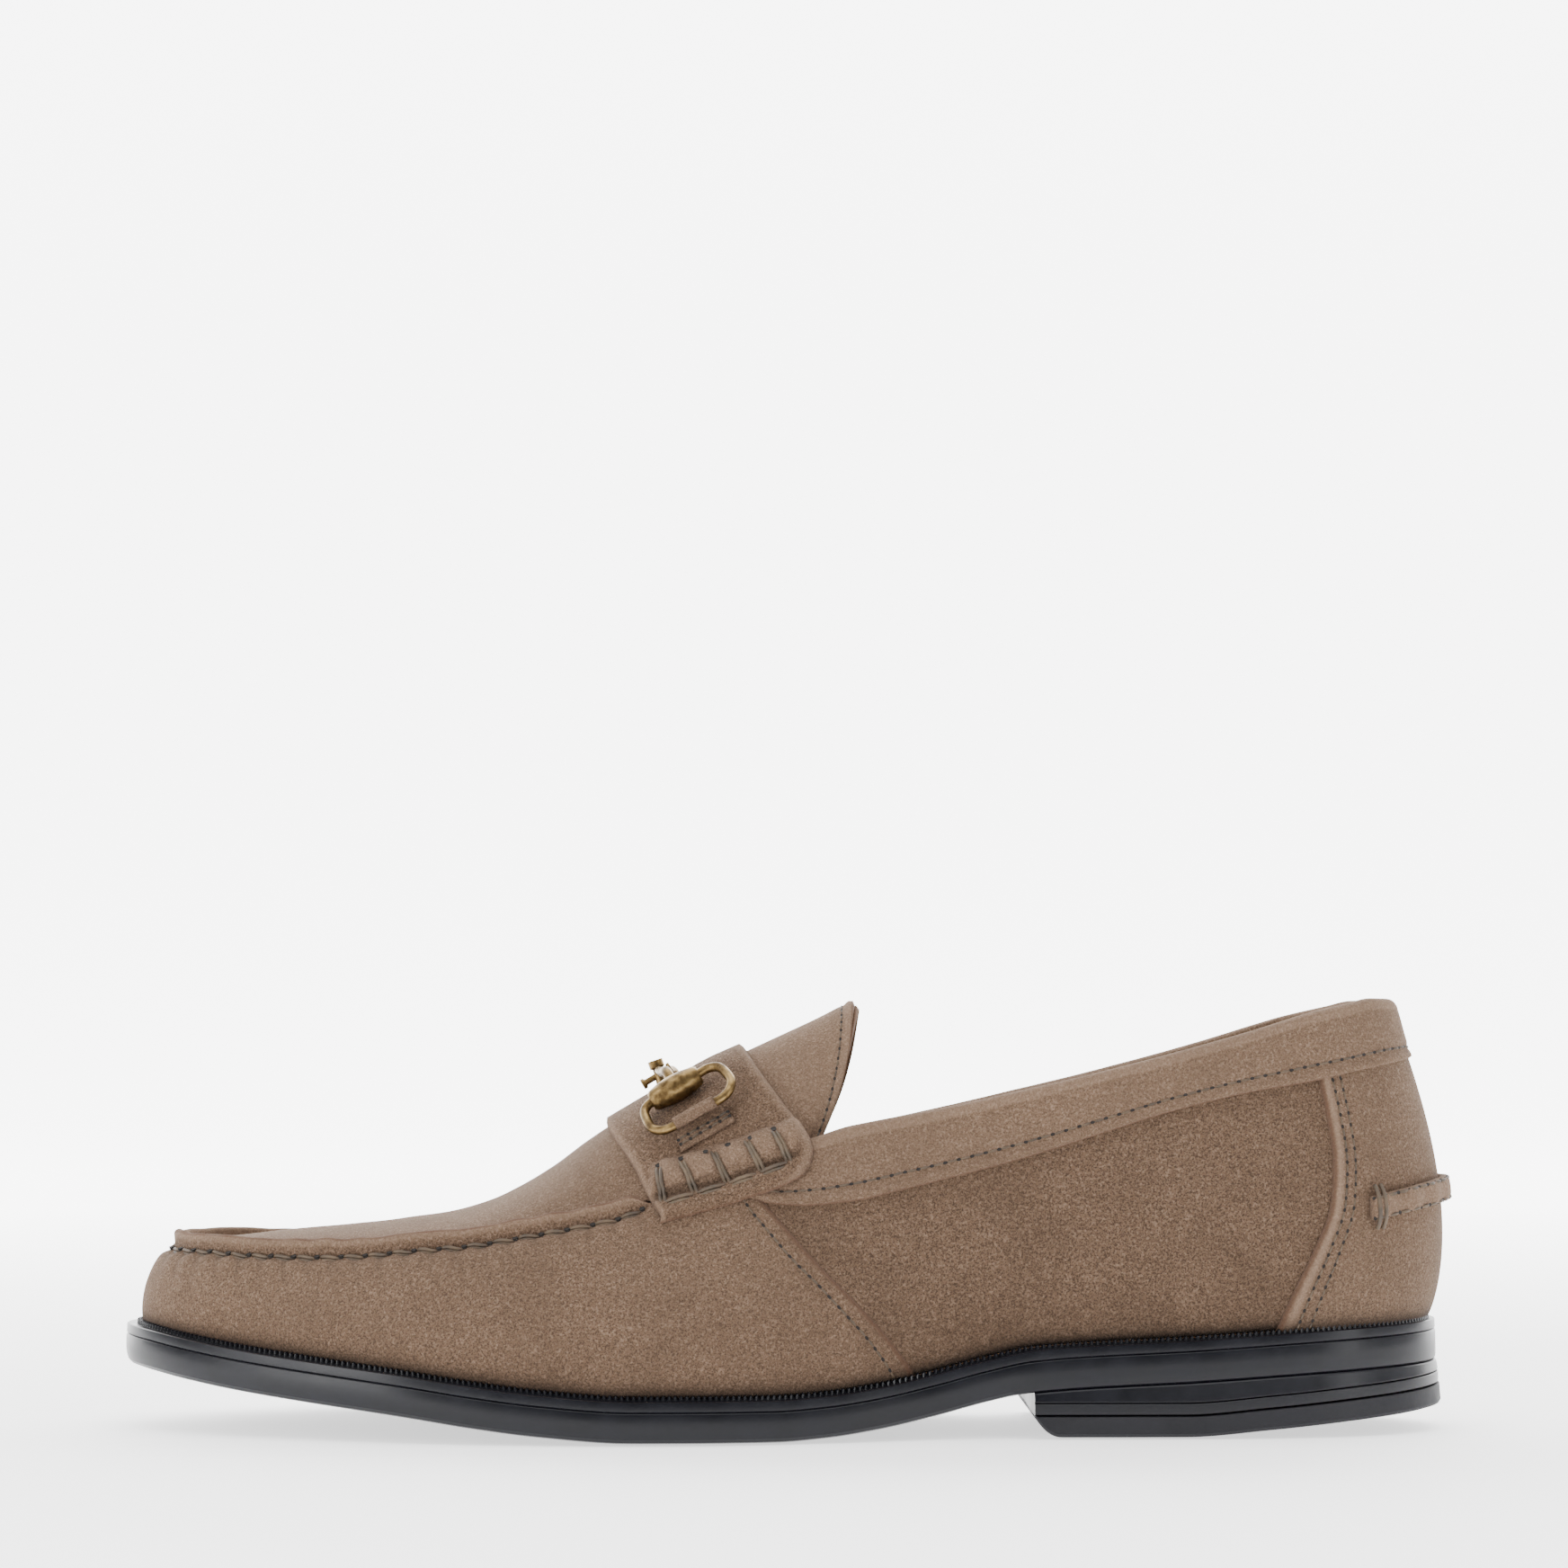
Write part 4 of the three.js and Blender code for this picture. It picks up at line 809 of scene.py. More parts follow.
# %% Quarter
v_rows = np.linspace(0, 1, 32)
front = 1.72
q_turns = np.concatenate([-even_turns(220, 0, front)[::-1], even_turns(220, 0, front)[1:]])
base = wall(q_turns[:, None], v_rows[None])
quarter_p = lay(base, -quarter_step + 0.12 * wobble(base, 14.0, 3))
# Painted shade: the quarter is darkened by 0.12 all over, and more near the sole.
quarter = grid_piece(
    "quarter_panel",
    quarter_p,
    taupe,
    {"painted_shade": shade_near_sole(quarter_p) * 0.88 + 0.12, "painted_light": 0 * quarter_p[..., 0], "raw": 0 * quarter_p[..., 0]},
    thick=0.8,
)

# %% [markdown]
# ## The vamp
# Its rear edge is cut raw and lies on the quarter. Under the hand-sewn seam the leather is gathered, so it
# puckers between stitches, and above the stitches it stands up as a raw lip.

# %% Vamp
seam_pitch = 5.75
lip_height, lip_width = 3.3, 2.2
v_wall = np.concatenate([np.linspace(0, 0.8, 36), np.linspace(0.815, 1, 18)])
v_count = 600
edge_out = turn_at(v_wall, vamp_edge, -1, 0.9, 2.2)
edge_in = turn_at(v_wall, vamp_edge, 1, 0.9, 2.2)
ease = np.linspace(0, 1, v_count)
v_turns = edge_out[None] + (2 * np.pi - edge_in - edge_out)[None] * ease[:, None]
vamp_base = wall(v_turns, v_wall[None])
top_line = wall(v_turns[:, -1], 1.0)
seam_run = np.concatenate([[0], np.cumsum(np.linalg.norm(np.diff(top_line, axis=0), axis=1))])
seam_x = top_line[:, 0]
lip_on = smooth((-104.0 - seam_x) / 7.0)
stitch_wave = np.cos(2 * np.pi * seam_run / seam_pitch)
below = (1 - v_wall)[None] * (wall_heights(v_turns)[2] - wall_heights(v_turns)[1])
gather = lip_on[:, None] * np.exp(-below / 4.2)
pucker = 0.3 * stitch_wave[:, None] * gather * (0.75 + 0.25 * np.sin(seam_run / 9.0)[:, None])
pinch = -0.75 * lip_on[:, None] * np.exp(-((below - 0.4) / 1.1) ** 2)
edge_near = np.minimum(np.arange(v_count), v_count - 1 - np.arange(v_count))[:, None]
edge_mm = edge_near * seam_run[-1] / (v_count - 1)
stitch_dip = -0.22 * np.exp(-((edge_mm - 2.5) / 0.7) ** 2)
roll_off = -0.85 * np.exp(-((edge_mm / 0.55) ** 2)) + 0.12 * np.exp(-((edge_mm - 1.3) / 0.8) ** 2)


def flex_folds(p):
    """Two shallow troughs across the vamp behind the toes, deepest low on the side."""
    x, z = p[..., 0], p[..., 2]
    fold = np.zeros_like(x)
    for centre, lean_by, depth, width in ((-118, 0.55, 0.35, 5.0), (-131, 0.4, 0.28, 6.0), (-146, 0.2, 0.2, 7.0)):
        fold -= depth * np.exp(-(((x - centre - lean_by * (z - 30)) / width) ** 2)) * np.exp(-(((z - 34) / 13) ** 2))
    return fold


vamp_height = pucker + pinch + stitch_dip + roll_off + 0.14 * wobble(vamp_base, 12.0, 1) + flex_folds(vamp_base)
vamp_p = lay(vamp_base, vamp_height)
lip_angle = np.linspace(0, np.pi, 9)
inward = np.stack(plan(v_turns[:, -1], 1.0), -1) - np.stack(plan(v_turns[:, -1], 0.0), -1)
inward = np.concatenate([inward, np.zeros((len(inward), 1))], 1)
ragged = 0.2 * np.sin(seam_run / 2.3) * np.sin(seam_run / 5.9 + 1) + 0.12 * np.sin(seam_run / 1.37 + np.sin(seam_run / 7.7))
lip_top = lip_height * lip_on + ragged * lip_on
crest = lay(vamp_base, vamp_height - pucker)[:, -1]
lip_rows = []
for share in (0.25, 0.6, 0.9):
    lip_rows.append(crest + np.array([0, 0, 1.0]) * (lip_top * share)[:, None] - inward * (0.35 * share * lip_on)[:, None])
for angle in lip_angle:
    sweep_in = lip_width / 2 * (1 - np.cos(angle))
    rise = lip_top + lip_on * 0.9 * np.sin(angle)
    lip_rows.append(crest + np.array([0, 0, 1.0]) * rise[:, None] + inward * (sweep_in - 0.35 * lip_on)[:, None])
lip_rows.append(crest + inward * lip_width + np.array([0, 0, -0.6]))
vamp_full = np.concatenate([vamp_p, np.stack(lip_rows, 1)], 1)
flat = np.zeros(vamp_full.shape[:2])
# Painted light: a little over the whole vamp, more on the lip's upper rows.
lip_light = flat + 0.06
lip_light[:, len(v_wall) + 2 :] = 0.35
lip_raw = flat.copy()
lip_raw[:, len(v_wall) + 5 : len(v_wall) + 8] = (0.62 + 0.38 * np.sin(seam_run / 3.1) ** 2)[:, None]
lip_raw[:2] = 0.8
lip_raw[-2:] = 0.8
# Painted shade near the sole and in the pucker troughs between the stitches.
vamp_shade = shade_near_sole(vamp_full) + 0.35 * np.pad(
    gather * np.clip(-stitch_wave, 0, 1)[:, None] ** 3, ((0, 0), (0, len(lip_rows)))
)
vamp = grid_piece("vamp_wall", vamp_full, taupe, {"painted_shade": vamp_shade, "painted_light": lip_light, "raw": lip_raw}, thick=0.7)

# %% [markdown]
# ## The apron
# The plug of the moccasin is one piece from the toe to the throat. Its edge turns up against the lip.

# %% Apron
rows_a = even_turns(250, float(turn_of(0.566)), np.pi - 0.055)
across = np.sin(np.linspace(-np.pi / 2, np.pi / 2, 101)) * 0.975
apron_base = crown(rows_a[:, None], across[None])
half_width = np.abs(apron_base[:, -1, 1] - apron_base[:, 0, 1])[:, None] / 2
from_edge = (1 - np.abs(across))[None] * half_width
toe_near = smooth((-104.0 - apron_base[..., 0]) / 7.0)
edge_up = 0.4 * np.exp(-(from_edge / 1.5) ** 2) * toe_near - 0.35 * np.exp(-((from_edge - 4) / 2.5) ** 2) * toe_near
apron_p = lay(apron_base, 0.2 + edge_up + 0.22 * wobble(apron_base, 15.0, 5))
# Painted shade along the apron's edge near the toe, against the lip; painted light, 0.12, all over.
apron = grid_piece(
    "apron",
    apron_p,
    taupe,
    {"painted_shade": 0.15 * np.exp(-from_edge / 2) * toe_near, "painted_light": 0.12 + 0 * from_edge * across[None], "raw": 0 * apron_p[..., 0]},
    thick=1.6,
)

# %% Lining of the whole wall
in_turns = even_turns(361)[:-1]
v_in = np.linspace(0.0, 0.985, 24)
in_base = wall(in_turns[:, None], v_in[None])
pad = np.concatenate([in_base[-2:], in_base, in_base[:2]])
in_p = (pad - normals(pad) * leather)[2:-2]
lining_wall = grid_piece("lining_wall", in_p, lining, wrap_rows=True, flip=True)
sock = ring(mirrored, foot_line(mirrored) * welt_width + 3.4, above(sheet_top + 0.4))
sock_top = ring(mirrored, foot_line(mirrored) * welt_width + 3.3, above(sheet_top + 3.0))
sock_rings = closing(mirrored, sock, above(sheet_top + 0.4))[::-1] + [sock, sock_top]
sock_rings += closing(mirrored, sock_top, above(sheet_top + 3.2))
insole = grid_piece("insole_sock", np.stack(sock_rings), lining, wrap_columns=True, flip=True, merge=True)
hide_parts("insole")
for obj in (apron, quarter, vamp, lining_wall):
    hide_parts("upper")

# %% [markdown]
# ## Collar band
# A strip is folded over the topline and sewn down along its lower edge. It is thickest on the rim.

# %% Collar band
strap_rear = soft_line([52.5, 54, 55.6, 57.4, 59.4, 61.6, 64.3, 73.2, 84.8, 93], [-79, -75.4, -72.6, -70.7, -69.6, -69.1, -69.9, -76.2, -84.5, -89])
band_front = 1.6
b_turns = np.concatenate([-even_turns(330, 0, band_front)[::-1], even_turns(330, 0, band_front)[1:]])
b_low = v_at(b_turns, band_low)
b_share = np.concatenate([[0, 0.004, 0.02], np.linspace(0.05, 1, 26)])
b_v = b_low[:, None] + (1 - b_low)[:, None] * b_share[None]
band_base = wall(b_turns[:, None], b_v)
band_mm = (band_base[..., 2] - band_base[:, :1, 2]) * 1.03
over_counter = smooth((band_base[..., 0] - 36) / 9)
band_h = -0.75 + 0.9 * over_counter + 1.5 * smooth(band_mm / 0.55) - 0.4 * np.exp(-((band_mm - 2.7) / 0.8) ** 2)
band_h = band_h + 0.45 * smooth((band_mm - 4) / 8) + 0.1 * wobble(band_base, 7.0, 2)
band_p = lay(band_base, band_h)
rim_in = np.stack(plan(b_turns, 1.0), -1) - np.stack(plan(b_turns, 0.0), -1)
rim_in = np.concatenate([rim_in, np.zeros((len(rim_in), 1))], 1)
rim = []
for angle in np.linspace(0.25, np.pi, 9):
    rim.append(band_p[:, -1] + rim_in * 1.95 * (1 - math.cos(angle)) + np.array([0, 0, 1.25 * math.sin(angle)]))
for drop in (1.5, 4.0, 8.0):
    rim.append(rim[8] + np.array([0, 0, -drop]) - rim_in * 0.06 * drop)
band_full = np.concatenate([band_p, np.stack(rim, 1)], 1)
b_flat = np.zeros(band_full.shape[:2])
b_raw = b_flat.copy()
b_raw[:, :2] = 0.75
# Painted light over the band, more on the rim.
band_light = b_flat + 0.16
band_light[:, 26:36] = 0.4
collar = grid_piece("collar_strip", band_full, taupe, {"painted_shade": b_flat, "painted_light": band_light, "raw": b_raw}, thick=0.6)
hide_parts("collar_band")

# %% Heel counter
c_share = np.linspace(0, 1, 70)
c_top = lambda turn: v_at(turn, band_low) + 0.03
guess = turn_at(c_share * 0.75, counter_edge, -1, 0.05, 1.5)
for _ in range(6):
    guess = turn_at(c_share * c_top(guess), counter_edge, -1, 0.05, 1.5)
guess_in = turn_at(c_share * 0.75, counter_edge, 1, 0.05, 1.5)
for _ in range(6):
    guess_in = turn_at(c_share * c_top(2 * np.pi - guess_in), counter_edge, 1, 0.05, 1.5)
around = np.linspace(0, 1, 240)
c_turns = guess[None] - (guess + guess_in)[None] * around[:, None]
c_turns = c_turns[::-1]
c_v = c_share[None] * c_top(c_turns)
counter_base = wall(c_turns, c_v)
step_mm = np.linalg.norm(np.diff(counter_base, axis=0), axis=-1).mean()
c_edge = np.minimum(np.arange(240), 239 - np.arange(240))[:, None] * step_mm
c_h = -0.75 + 1.45 * smooth(c_edge / 0.6) - 0.28 * np.exp(-((c_edge - 2.5) / 0.6) ** 2)
c_h = c_h - 0.28 * np.exp(-((c_edge - 4.6) / 0.6) ** 2) + 0.1 * wobble(counter_base, 9.0, 4)
counter_p = lay(counter_base, c_h)
c_raw = np.where(c_edge < 0.6, 0.7, 0) + 0 * counter_p[..., 0]
# Painted light along the rolled edge and a little all over; painted shade near the sole and 0.05 all over.
counter_light = 0.5 * np.exp(-((c_edge - 1.2) / 0.8) ** 2) + 0.1 + 0 * counter_p[..., 0]
counter = grid_piece("counter_panel", counter_p, taupe, {"painted_shade": shade_near_sole(counter_p) * 0.95 + 0.05, "painted_light": counter_light, "raw": c_raw}, thick=0.5)
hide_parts("heel_counter")

# %% [markdown]
# ## Tongue
# Two layers of suede sewn together near their free edge. The rows begin as the crown's own rows under the
# strap and end on the arch of the free edge.

# %% Tongue


def tongue_surface(along, over):
    """Crown row blended by a^2(3 - a)/2 into the free edge's arch, whose height falls as |across|^2.3."""
    front_row = crown(turn_of(0.569 - 0.1 * along), over * 0.975)
    arch = np.stack(
        [
            -60.2 - 8.8 * np.abs(over) ** 5 + 0 * along,
            over * 24.5 + 0 * along,
            61 + 35.6 * (1 - np.abs(over) ** 2.3) + 0 * along,
        ],
        -1,
    )
    a = np.clip((along - 0.42) / 0.58, 0, 1)
    t = (a * a * (3 - a) / 2)[..., None]
    return front_row + (arch - front_row) * t


t_along = np.concatenate([np.linspace(0, 0.94, 60), np.linspace(0.95, 1, 12)])
t_over = -np.sin(np.linspace(-np.pi / 2, np.pi / 2, 101))
tongue_base = tongue_surface(t_along[:, None] + 0 * t_over[None], t_over[None] + 0 * t_along[:, None])
t_run = np.concatenate([np.zeros((1, 101)), np.cumsum(np.linalg.norm(np.diff(tongue_base, axis=0), axis=-1), 0)])
t_edge = t_run[-1:] - t_run
t_h = -0.5 * (1 - smooth(t_edge / 0.9)) - 0.3 * np.exp(-((t_edge - 2.6) / 0.7) ** 2) + 0.15 * wobble(tongue_base, 9.0, 6)
tongue_p = lay(tongue_base, t_h)
t_zero = 0 * tongue_p[..., 0]
# Painted light: lighter all over, more towards the free edge.
tongue = grid_piece(
    "tongue_outer",
    tongue_p,
    taupe,
    {"painted_shade": t_zero, "painted_light": 0.35 * np.exp(-t_edge / 1.5) + 0.25, "raw": np.where(t_edge < 0.35, 0.6, 0)},
    thick=1.5,
)
under_layer = lay(tongue_base[:, 2:-2], -1.75 + 0 * tongue_base[:, 2:-2, 0])
tongue_back = grid_piece("tongue_inner", under_layer, flesh, {"painted_shade": t_zero[:, 2:-2], "painted_light": t_zero[:, 2:-2], "raw": t_zero[:, 2:-2] + 0.3}, thick=1.3)
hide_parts("tongue")
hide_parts("tongue")

# %% [markdown]
# ## Strap and its padded rolls
# The strap crosses the instep and ends below the seam on both sides. Five thick thread bars draw a padded
# roll into pillows at each end. The patch solves for the x where its front and back edges cross each row.

# %% Strap
strap_front = soft_line([47.9, 51.5, 58.2, 68.2, 73], [-102.9, -105.6, -109.3, -117.3, -121])
strap_bottom = soft_line([-125, -100.2, -90, -78.2, -71.2, -60], [41.5, 47.2, 50.1, 53.6, 56.9, 62.5])


def skin_point(x, q, side):
    """q up to 1 goes over the crown from its middle to the seam, and on to 2 it goes down the wall."""
    turn = turn_of((heel_back - x) / sole_length)
    for _ in range(4):
        own = turn if side < 0 else 2 * np.pi - turn
        top_row = crown(turn, -np.clip(q, 0, 1)) if side < 0 else crown(turn, np.clip(q, 0, 1))
        v_low = (strap_bottom(top_row[..., 0]) - wall_heights(own)[1]) / (wall_heights(own)[2] - wall_heights(own)[1])
        low_row = wall(own, 1 - np.clip(q - 1, 0, 1) * (1 - v_low))
        p = np.where((q > 1)[..., None], low_row, top_row)
        turn = np.clip(turn + (p[..., 0] - x) / 150.0, 0.9, 2.4)
    return p


b_cols = np.concatenate([[0, 0.012, 0.03], np.linspace(0.06, 0.94, 60), [0.97, 0.988, 1]])
q_rows = np.concatenate([np.linspace(0, 1, 60), np.linspace(1.05, 1.9, 16), [1.95, 1.98, 2.0]])


def strap_half(side):
    b, q = np.meshgrid(b_cols, q_rows, indexing="xy")
    x = -100 + 30 * b
    for _ in range(30):
        p = skin_point(x, q, side)
        z = p[..., 2]
        x = 0.5 * x + 0.5 * (strap_front(z) + (strap_rear(z) - strap_front(z)) * b)
    return skin_point(x, q, side)


left_half, right_half = strap_half(-1), strap_half(1)
strap_base = np.concatenate([left_half[::-1], right_half[1:]], 0)
rows_n, cols_n = strap_base.shape[:2]
q_full = np.concatenate([q_rows[::-1], q_rows[1:]])[:, None] + 0 * b_cols[None]
b_full = b_cols[None] + 0 * q_full
seam_z = wall_heights(turn_of((heel_back - strap_base[..., 0]) / sole_length))[2]
over_seam = strap_base[..., 2] - seam_z
width_mm = np.linalg.norm(strap_base[:, -1] - strap_base[:, 0], axis=-1)[:, None]
side_edge = np.minimum(b_full, 1 - b_full) * width_mm
low_edge = (2 - q_full) * 6.0
round_edge = np.minimum(side_edge, np.where(q_full > 1, low_edge, 99))
on_band = smooth((strap_base[..., 0] + 88) / 8) * smooth((q_full - 0.8) / 0.15)
strap_h = gap - 0.2 + 1.25 * on_band + (2.2 - 0.5 * on_band) * smooth(round_edge / 0.8)
bar_x = np.array([-102.4, -95.3, -88.1, -80.4, -74.6])
bar_top_x = np.array([-103.6, -98.6, -91.6, -84.2, -78.1])
lift_up = np.clip(over_seam / 7.2, 0, 1)
bars = np.zeros_like(strap_h)
for low_x, high_x in zip(bar_x, bar_top_x):
    line_x = low_x + (high_x - low_x) * lift_up
    bars = np.maximum(bars, np.exp(-(((strap_base[..., 0] - line_x) / 1.25) ** 2)))
pillow = np.sin(np.pi * np.clip((over_seam + 0.3) / 7.8, 0, 1)) ** 0.55
inside = smooth((strap_base[..., 0] + 105.5) / 2.0) * smooth((-71.0 - strap_base[..., 0]) / 2.5)
strap_h = strap_h + pillow * inside * (2.5 - 1.35 * bars)
strap_h = strap_h - 0.5 * inside * np.exp(-((over_seam + 0.6) / 0.9) ** 2) - 0.35 * inside * np.exp(-((over_seam - 8.0) / 1.0) ** 2)
strap_p = lay(strap_base, strap_h + 0.1 * wobble(strap_base, 6.0, 7))
s_zero = 0 * strap_p[..., 0]
# Painted shade in the crease at the foot of the pillows; painted light on the side edges and the pillow tops.
strap = grid_piece(
    "strap",
    strap_p,
    taupe,
    {
        "painted_shade": 0.5 * inside * np.exp(-((over_seam + 0.6) / 0.7) ** 2),
        "painted_light": 0.35 * np.exp(-((side_edge - 1.0) / 0.9) ** 2) + 0.25 * pillow * inside,
        "raw": np.where(round_edge < 0.3, 0.6, 0.0),
    },
    thick=2.0,
)
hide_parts("saddle_strap")
strap_n = normals(strap_p)

# %% Points on the strap


def strap_place(x, z, side, lift=0.0):
    """The strap's grid point nearest to a place in the side view, with its normal."""
    x, z = np.atleast_1d(x), np.atleast_1d(z)
    flat_p, flat_n = strap_p.reshape(-1, 3), strap_n.reshape(-1, 3)
    keep = flat_p[:, 1] * side > 0
    flat_p, flat_n = flat_p[keep], flat_n[keep]
    d = (flat_p[None, :, 0] - x[:, None]) ** 2 + (flat_p[None, :, 2] - z[:, None]) ** 2
    near = np.argsort(d, 1)[:, :4]
    w = 1 / (np.take_along_axis(d, near, 1) + 0.05)
    w /= w.sum(1, keepdims=True)
    p = (flat_p[near] * w[..., None]).sum(1)
    n = (flat_n[near] * w[..., None]).sum(1)
    n /= np.linalg.norm(n, axis=-1, keepdims=True)
    return p + n * lift, n


# %% Roll bars and their threads
for side, tag in ((-1, "lateral"), (1, "medial")):
    for k, (low_x, high_x) in enumerate(zip(bar_x, bar_top_x)):
        share = np.linspace(0, 1, 9)
        xs = low_x + (high_x - low_x) * share
        z_seam = wall_heights(turn_of((heel_back - xs) / sole_length))[2]
        zs = z_seam - 0.3 + 8.1 * share
        for offset in (-0.5, 0.5):
            p, n = strap_place(xs + offset, zs, side)
            rise = 0.55 * np.sin(np.pi * share) ** 0.4 - 0.5 * (1 - np.sin(np.pi * share))
            tube(f"bar_{tag}_{k}_{'a' if offset < 0 else 'b'}", spline(p + n * rise[:, None], 16), 0.46, thread, sides=8)
    line_x = np.interp(np.linspace(0, 4, 60), np.arange(5), bar_x)
    line_z = wall_heights(turn_of((heel_back - line_x) / sole_length))[2] - 0.6
    p, n = strap_place(line_x, line_z, side, 0.05)
    for drop, part in ((0.42, "high"), (-0.42, "low")):
        strand = spline(p, 80) + np.array([0, 0, drop])
        stitch_row(f"roll_thread_{tag}_{part}", strand, spline(n, 80), 6.95, 0.86, 0.42, 0.25, holes=drop < 0)
    line_x = np.interp(np.linspace(0, 4, 60), np.arange(5), bar_top_x)
    line_z = wall_heights(turn_of((heel_back - line_x) / sole_length))[2] + 8.0
    p, n = strap_place(line_x, line_z, side, 0.05)
    # This row's thread is almost nothing; its near-black discs are painted shade of the holes.
    stitch_row(f"roll_top_{tag}", spline(p, 80), spline(n, 80), 6.4, 0.8, 0.02, -0.2, hole_size=0.75)

# %% [markdown]
# ## The hand-sewn seam
# The thick waxed thread runs outside between two holes, a little below the lip.

# %% Seam stitches
seam_keep = np.where(lip_on > 0.35)[0]
row = len(v_wall) - 2
seam_pts = vamp_full[seam_keep, row]
seam_up = normals(vamp_full)[seam_keep, row]
start_phase = seam_run[seam_keep[0]]
first = seam_pitch / 2 - (start_phase % seam_pitch)
for drop, part in ((0.36, "high"), (-0.36, "low")):
    strand = seam_pts + np.array([0, 0, drop])
    stitch_row(f"seam_thread_{part}", strand, seam_up, seam_pitch, 0.86, 0.4, 0.28, slant=0.5, holes=drop > 0, hole_size=0.66, hole_rise=0.3)

# %% Machine stitches


def row_line(p, index_row=None, index_column=None):
    n = normals(p)
    return (p[index_row], n[index_row]) if index_row is not None else (p[:, index_column], n[:, index_column])


band_row = int(np.argmin(np.abs(band_mm[330] - 2.7)))
p, n = row_line(band_full, index_column=band_row)
stitch_row("band_thread", p[4:-4], n[4:-4], 3.1, 0.72, 0.27, 0.12)
edge_column = int(round(2.5 / (seam_run[-1] / (v_count - 1))))
for index, tag in ((edge_column, "lateral"), (v_count - 1 - edge_column, "medial")):
    p, n = row_line(vamp_full, index_row=index)
    keep = slice(0, int(len(v_wall) * 0.93))
    stitch_row(f"vamp_thread_{tag}", p[keep], n[keep], 3.1, 0.7, 0.26, 0.1)
for mm in (2.5, 4.6):
    steps = int(round(mm / step_mm))
    for index, tag in ((steps, "medial"), (239 - steps, "lateral")):
        p, n = row_line(counter_p, index_row=index)
        stitch_row(f"counter_thread_{tag}_{int(mm)}", p, n, 2.7, 0.7, 0.26, 0.1)
t_column = int(np.argmin(np.abs(t_edge[:, 50] - 2.6)))
p, n = row_line(tongue_p, index_row=t_column)
stitch_row("tongue_thread", p[4:-4], n[4:-4], 2.6, 0.7, 0.24, 0.08)

# %% [markdown]
# ## Heel loop
# A folded strip goes round the back of the counter, sewn along both edges, with a thick bar at each end.

# %% Heel loop
loop_turn = float(turn_at(np.array([0.42]), lambda z: 53.8 + 0 * z, -1, 0.05, 1.5)[0])
l_turns = np.linspace(-loop_turn, loop_turn, 160)
loop_mid = lambda x: 49.6 + (x - 53.8) * 0.215
l_v = v_at(l_turns, loop_mid)
half_tall, thick_l = 2.65, 2.3
angle = np.linspace(0, 2 * np.pi, 28, endpoint=False)
tall = half_tall * np.sign(np.sin(angle)) * np.abs(np.sin(angle)) ** 0.7
deep = 0.75 + thick_l * (0.5 + 0.5 * np.sign(np.cos(angle)) * np.abs(np.cos(angle)) ** 0.55)
_, l_low, l_top = wall_heights(l_turns)
v_off = tall[None] / (l_top - l_low)[:, None]
loop_base = wall(l_turns[:, None], l_v[:, None] + v_off)
loop_n = np.stack([np.gradient(wall(l_turns, l_v), axis=0)], 0)[0]
loop_n = np.cross(loop_n, [0, 0, 1.0])
loop_n /= -np.linalg.norm(loop_n, axis=-1, keepdims=True)
if loop_n[80, 0] < 0:
    loop_n = -loop_n
bumps = 1 + 0.08 * np.sin(np.linspace(0, 60, 160))
loop_p = loop_base + loop_n[:, None] * (deep[None] * bumps[:, None])[..., None]
faces = grid_faces(160, 28, wrap_columns=True)
faces += [list(range(28))[::-1], list(range(159 * 28, 160 * 28))]
# Painted light: the roll is lightened all over.
l_values = {"painted_shade": 0 * loop_p[..., 0], "painted_light": 0.3 + 0 * loop_p[..., 0], "raw": 0 * loop_p[..., 0]}
loop_obj = finish_mesh("heel_loop_roll", loop_p, faces, taupe, l_values, merge=True)
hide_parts("heel_loop")
for offset, tag in ((2.2, "top"), (-2.2, "low")):
    line = wall(l_turns, l_v + offset / (l_top - l_low)) + loop_n * 2.75
    stitch_row(f"loop_thread_{tag}", line, loop_n, 3.4, 0.8, 0.34, 0.2)
for index, tag in ((3, "medial"), (156, "lateral")):
    for shift in (-2, 1):
        p = np.stack([wall(l_turns[index + shift], l_v[index] + d / 40.0) for d in np.linspace(-2.75, 2.75, 9)])
        arc = 3.2 * np.sin(np.linspace(0.15, np.pi - 0.15, 9)) ** 0.35
        tube(f"loop_bar_{tag}_{'a' if shift < 0 else 'b'}", spline(p + loop_n[index] * arc[:, None], 18), 0.5, thread, sides=8)

# %% [markdown]
# ## The bit
# A barrel on each side holds an oval ring, and an arm runs from each barrel to a link on the crest. The
# metal is cast, so the barrel is a turned form with a soft ridge and small facets.

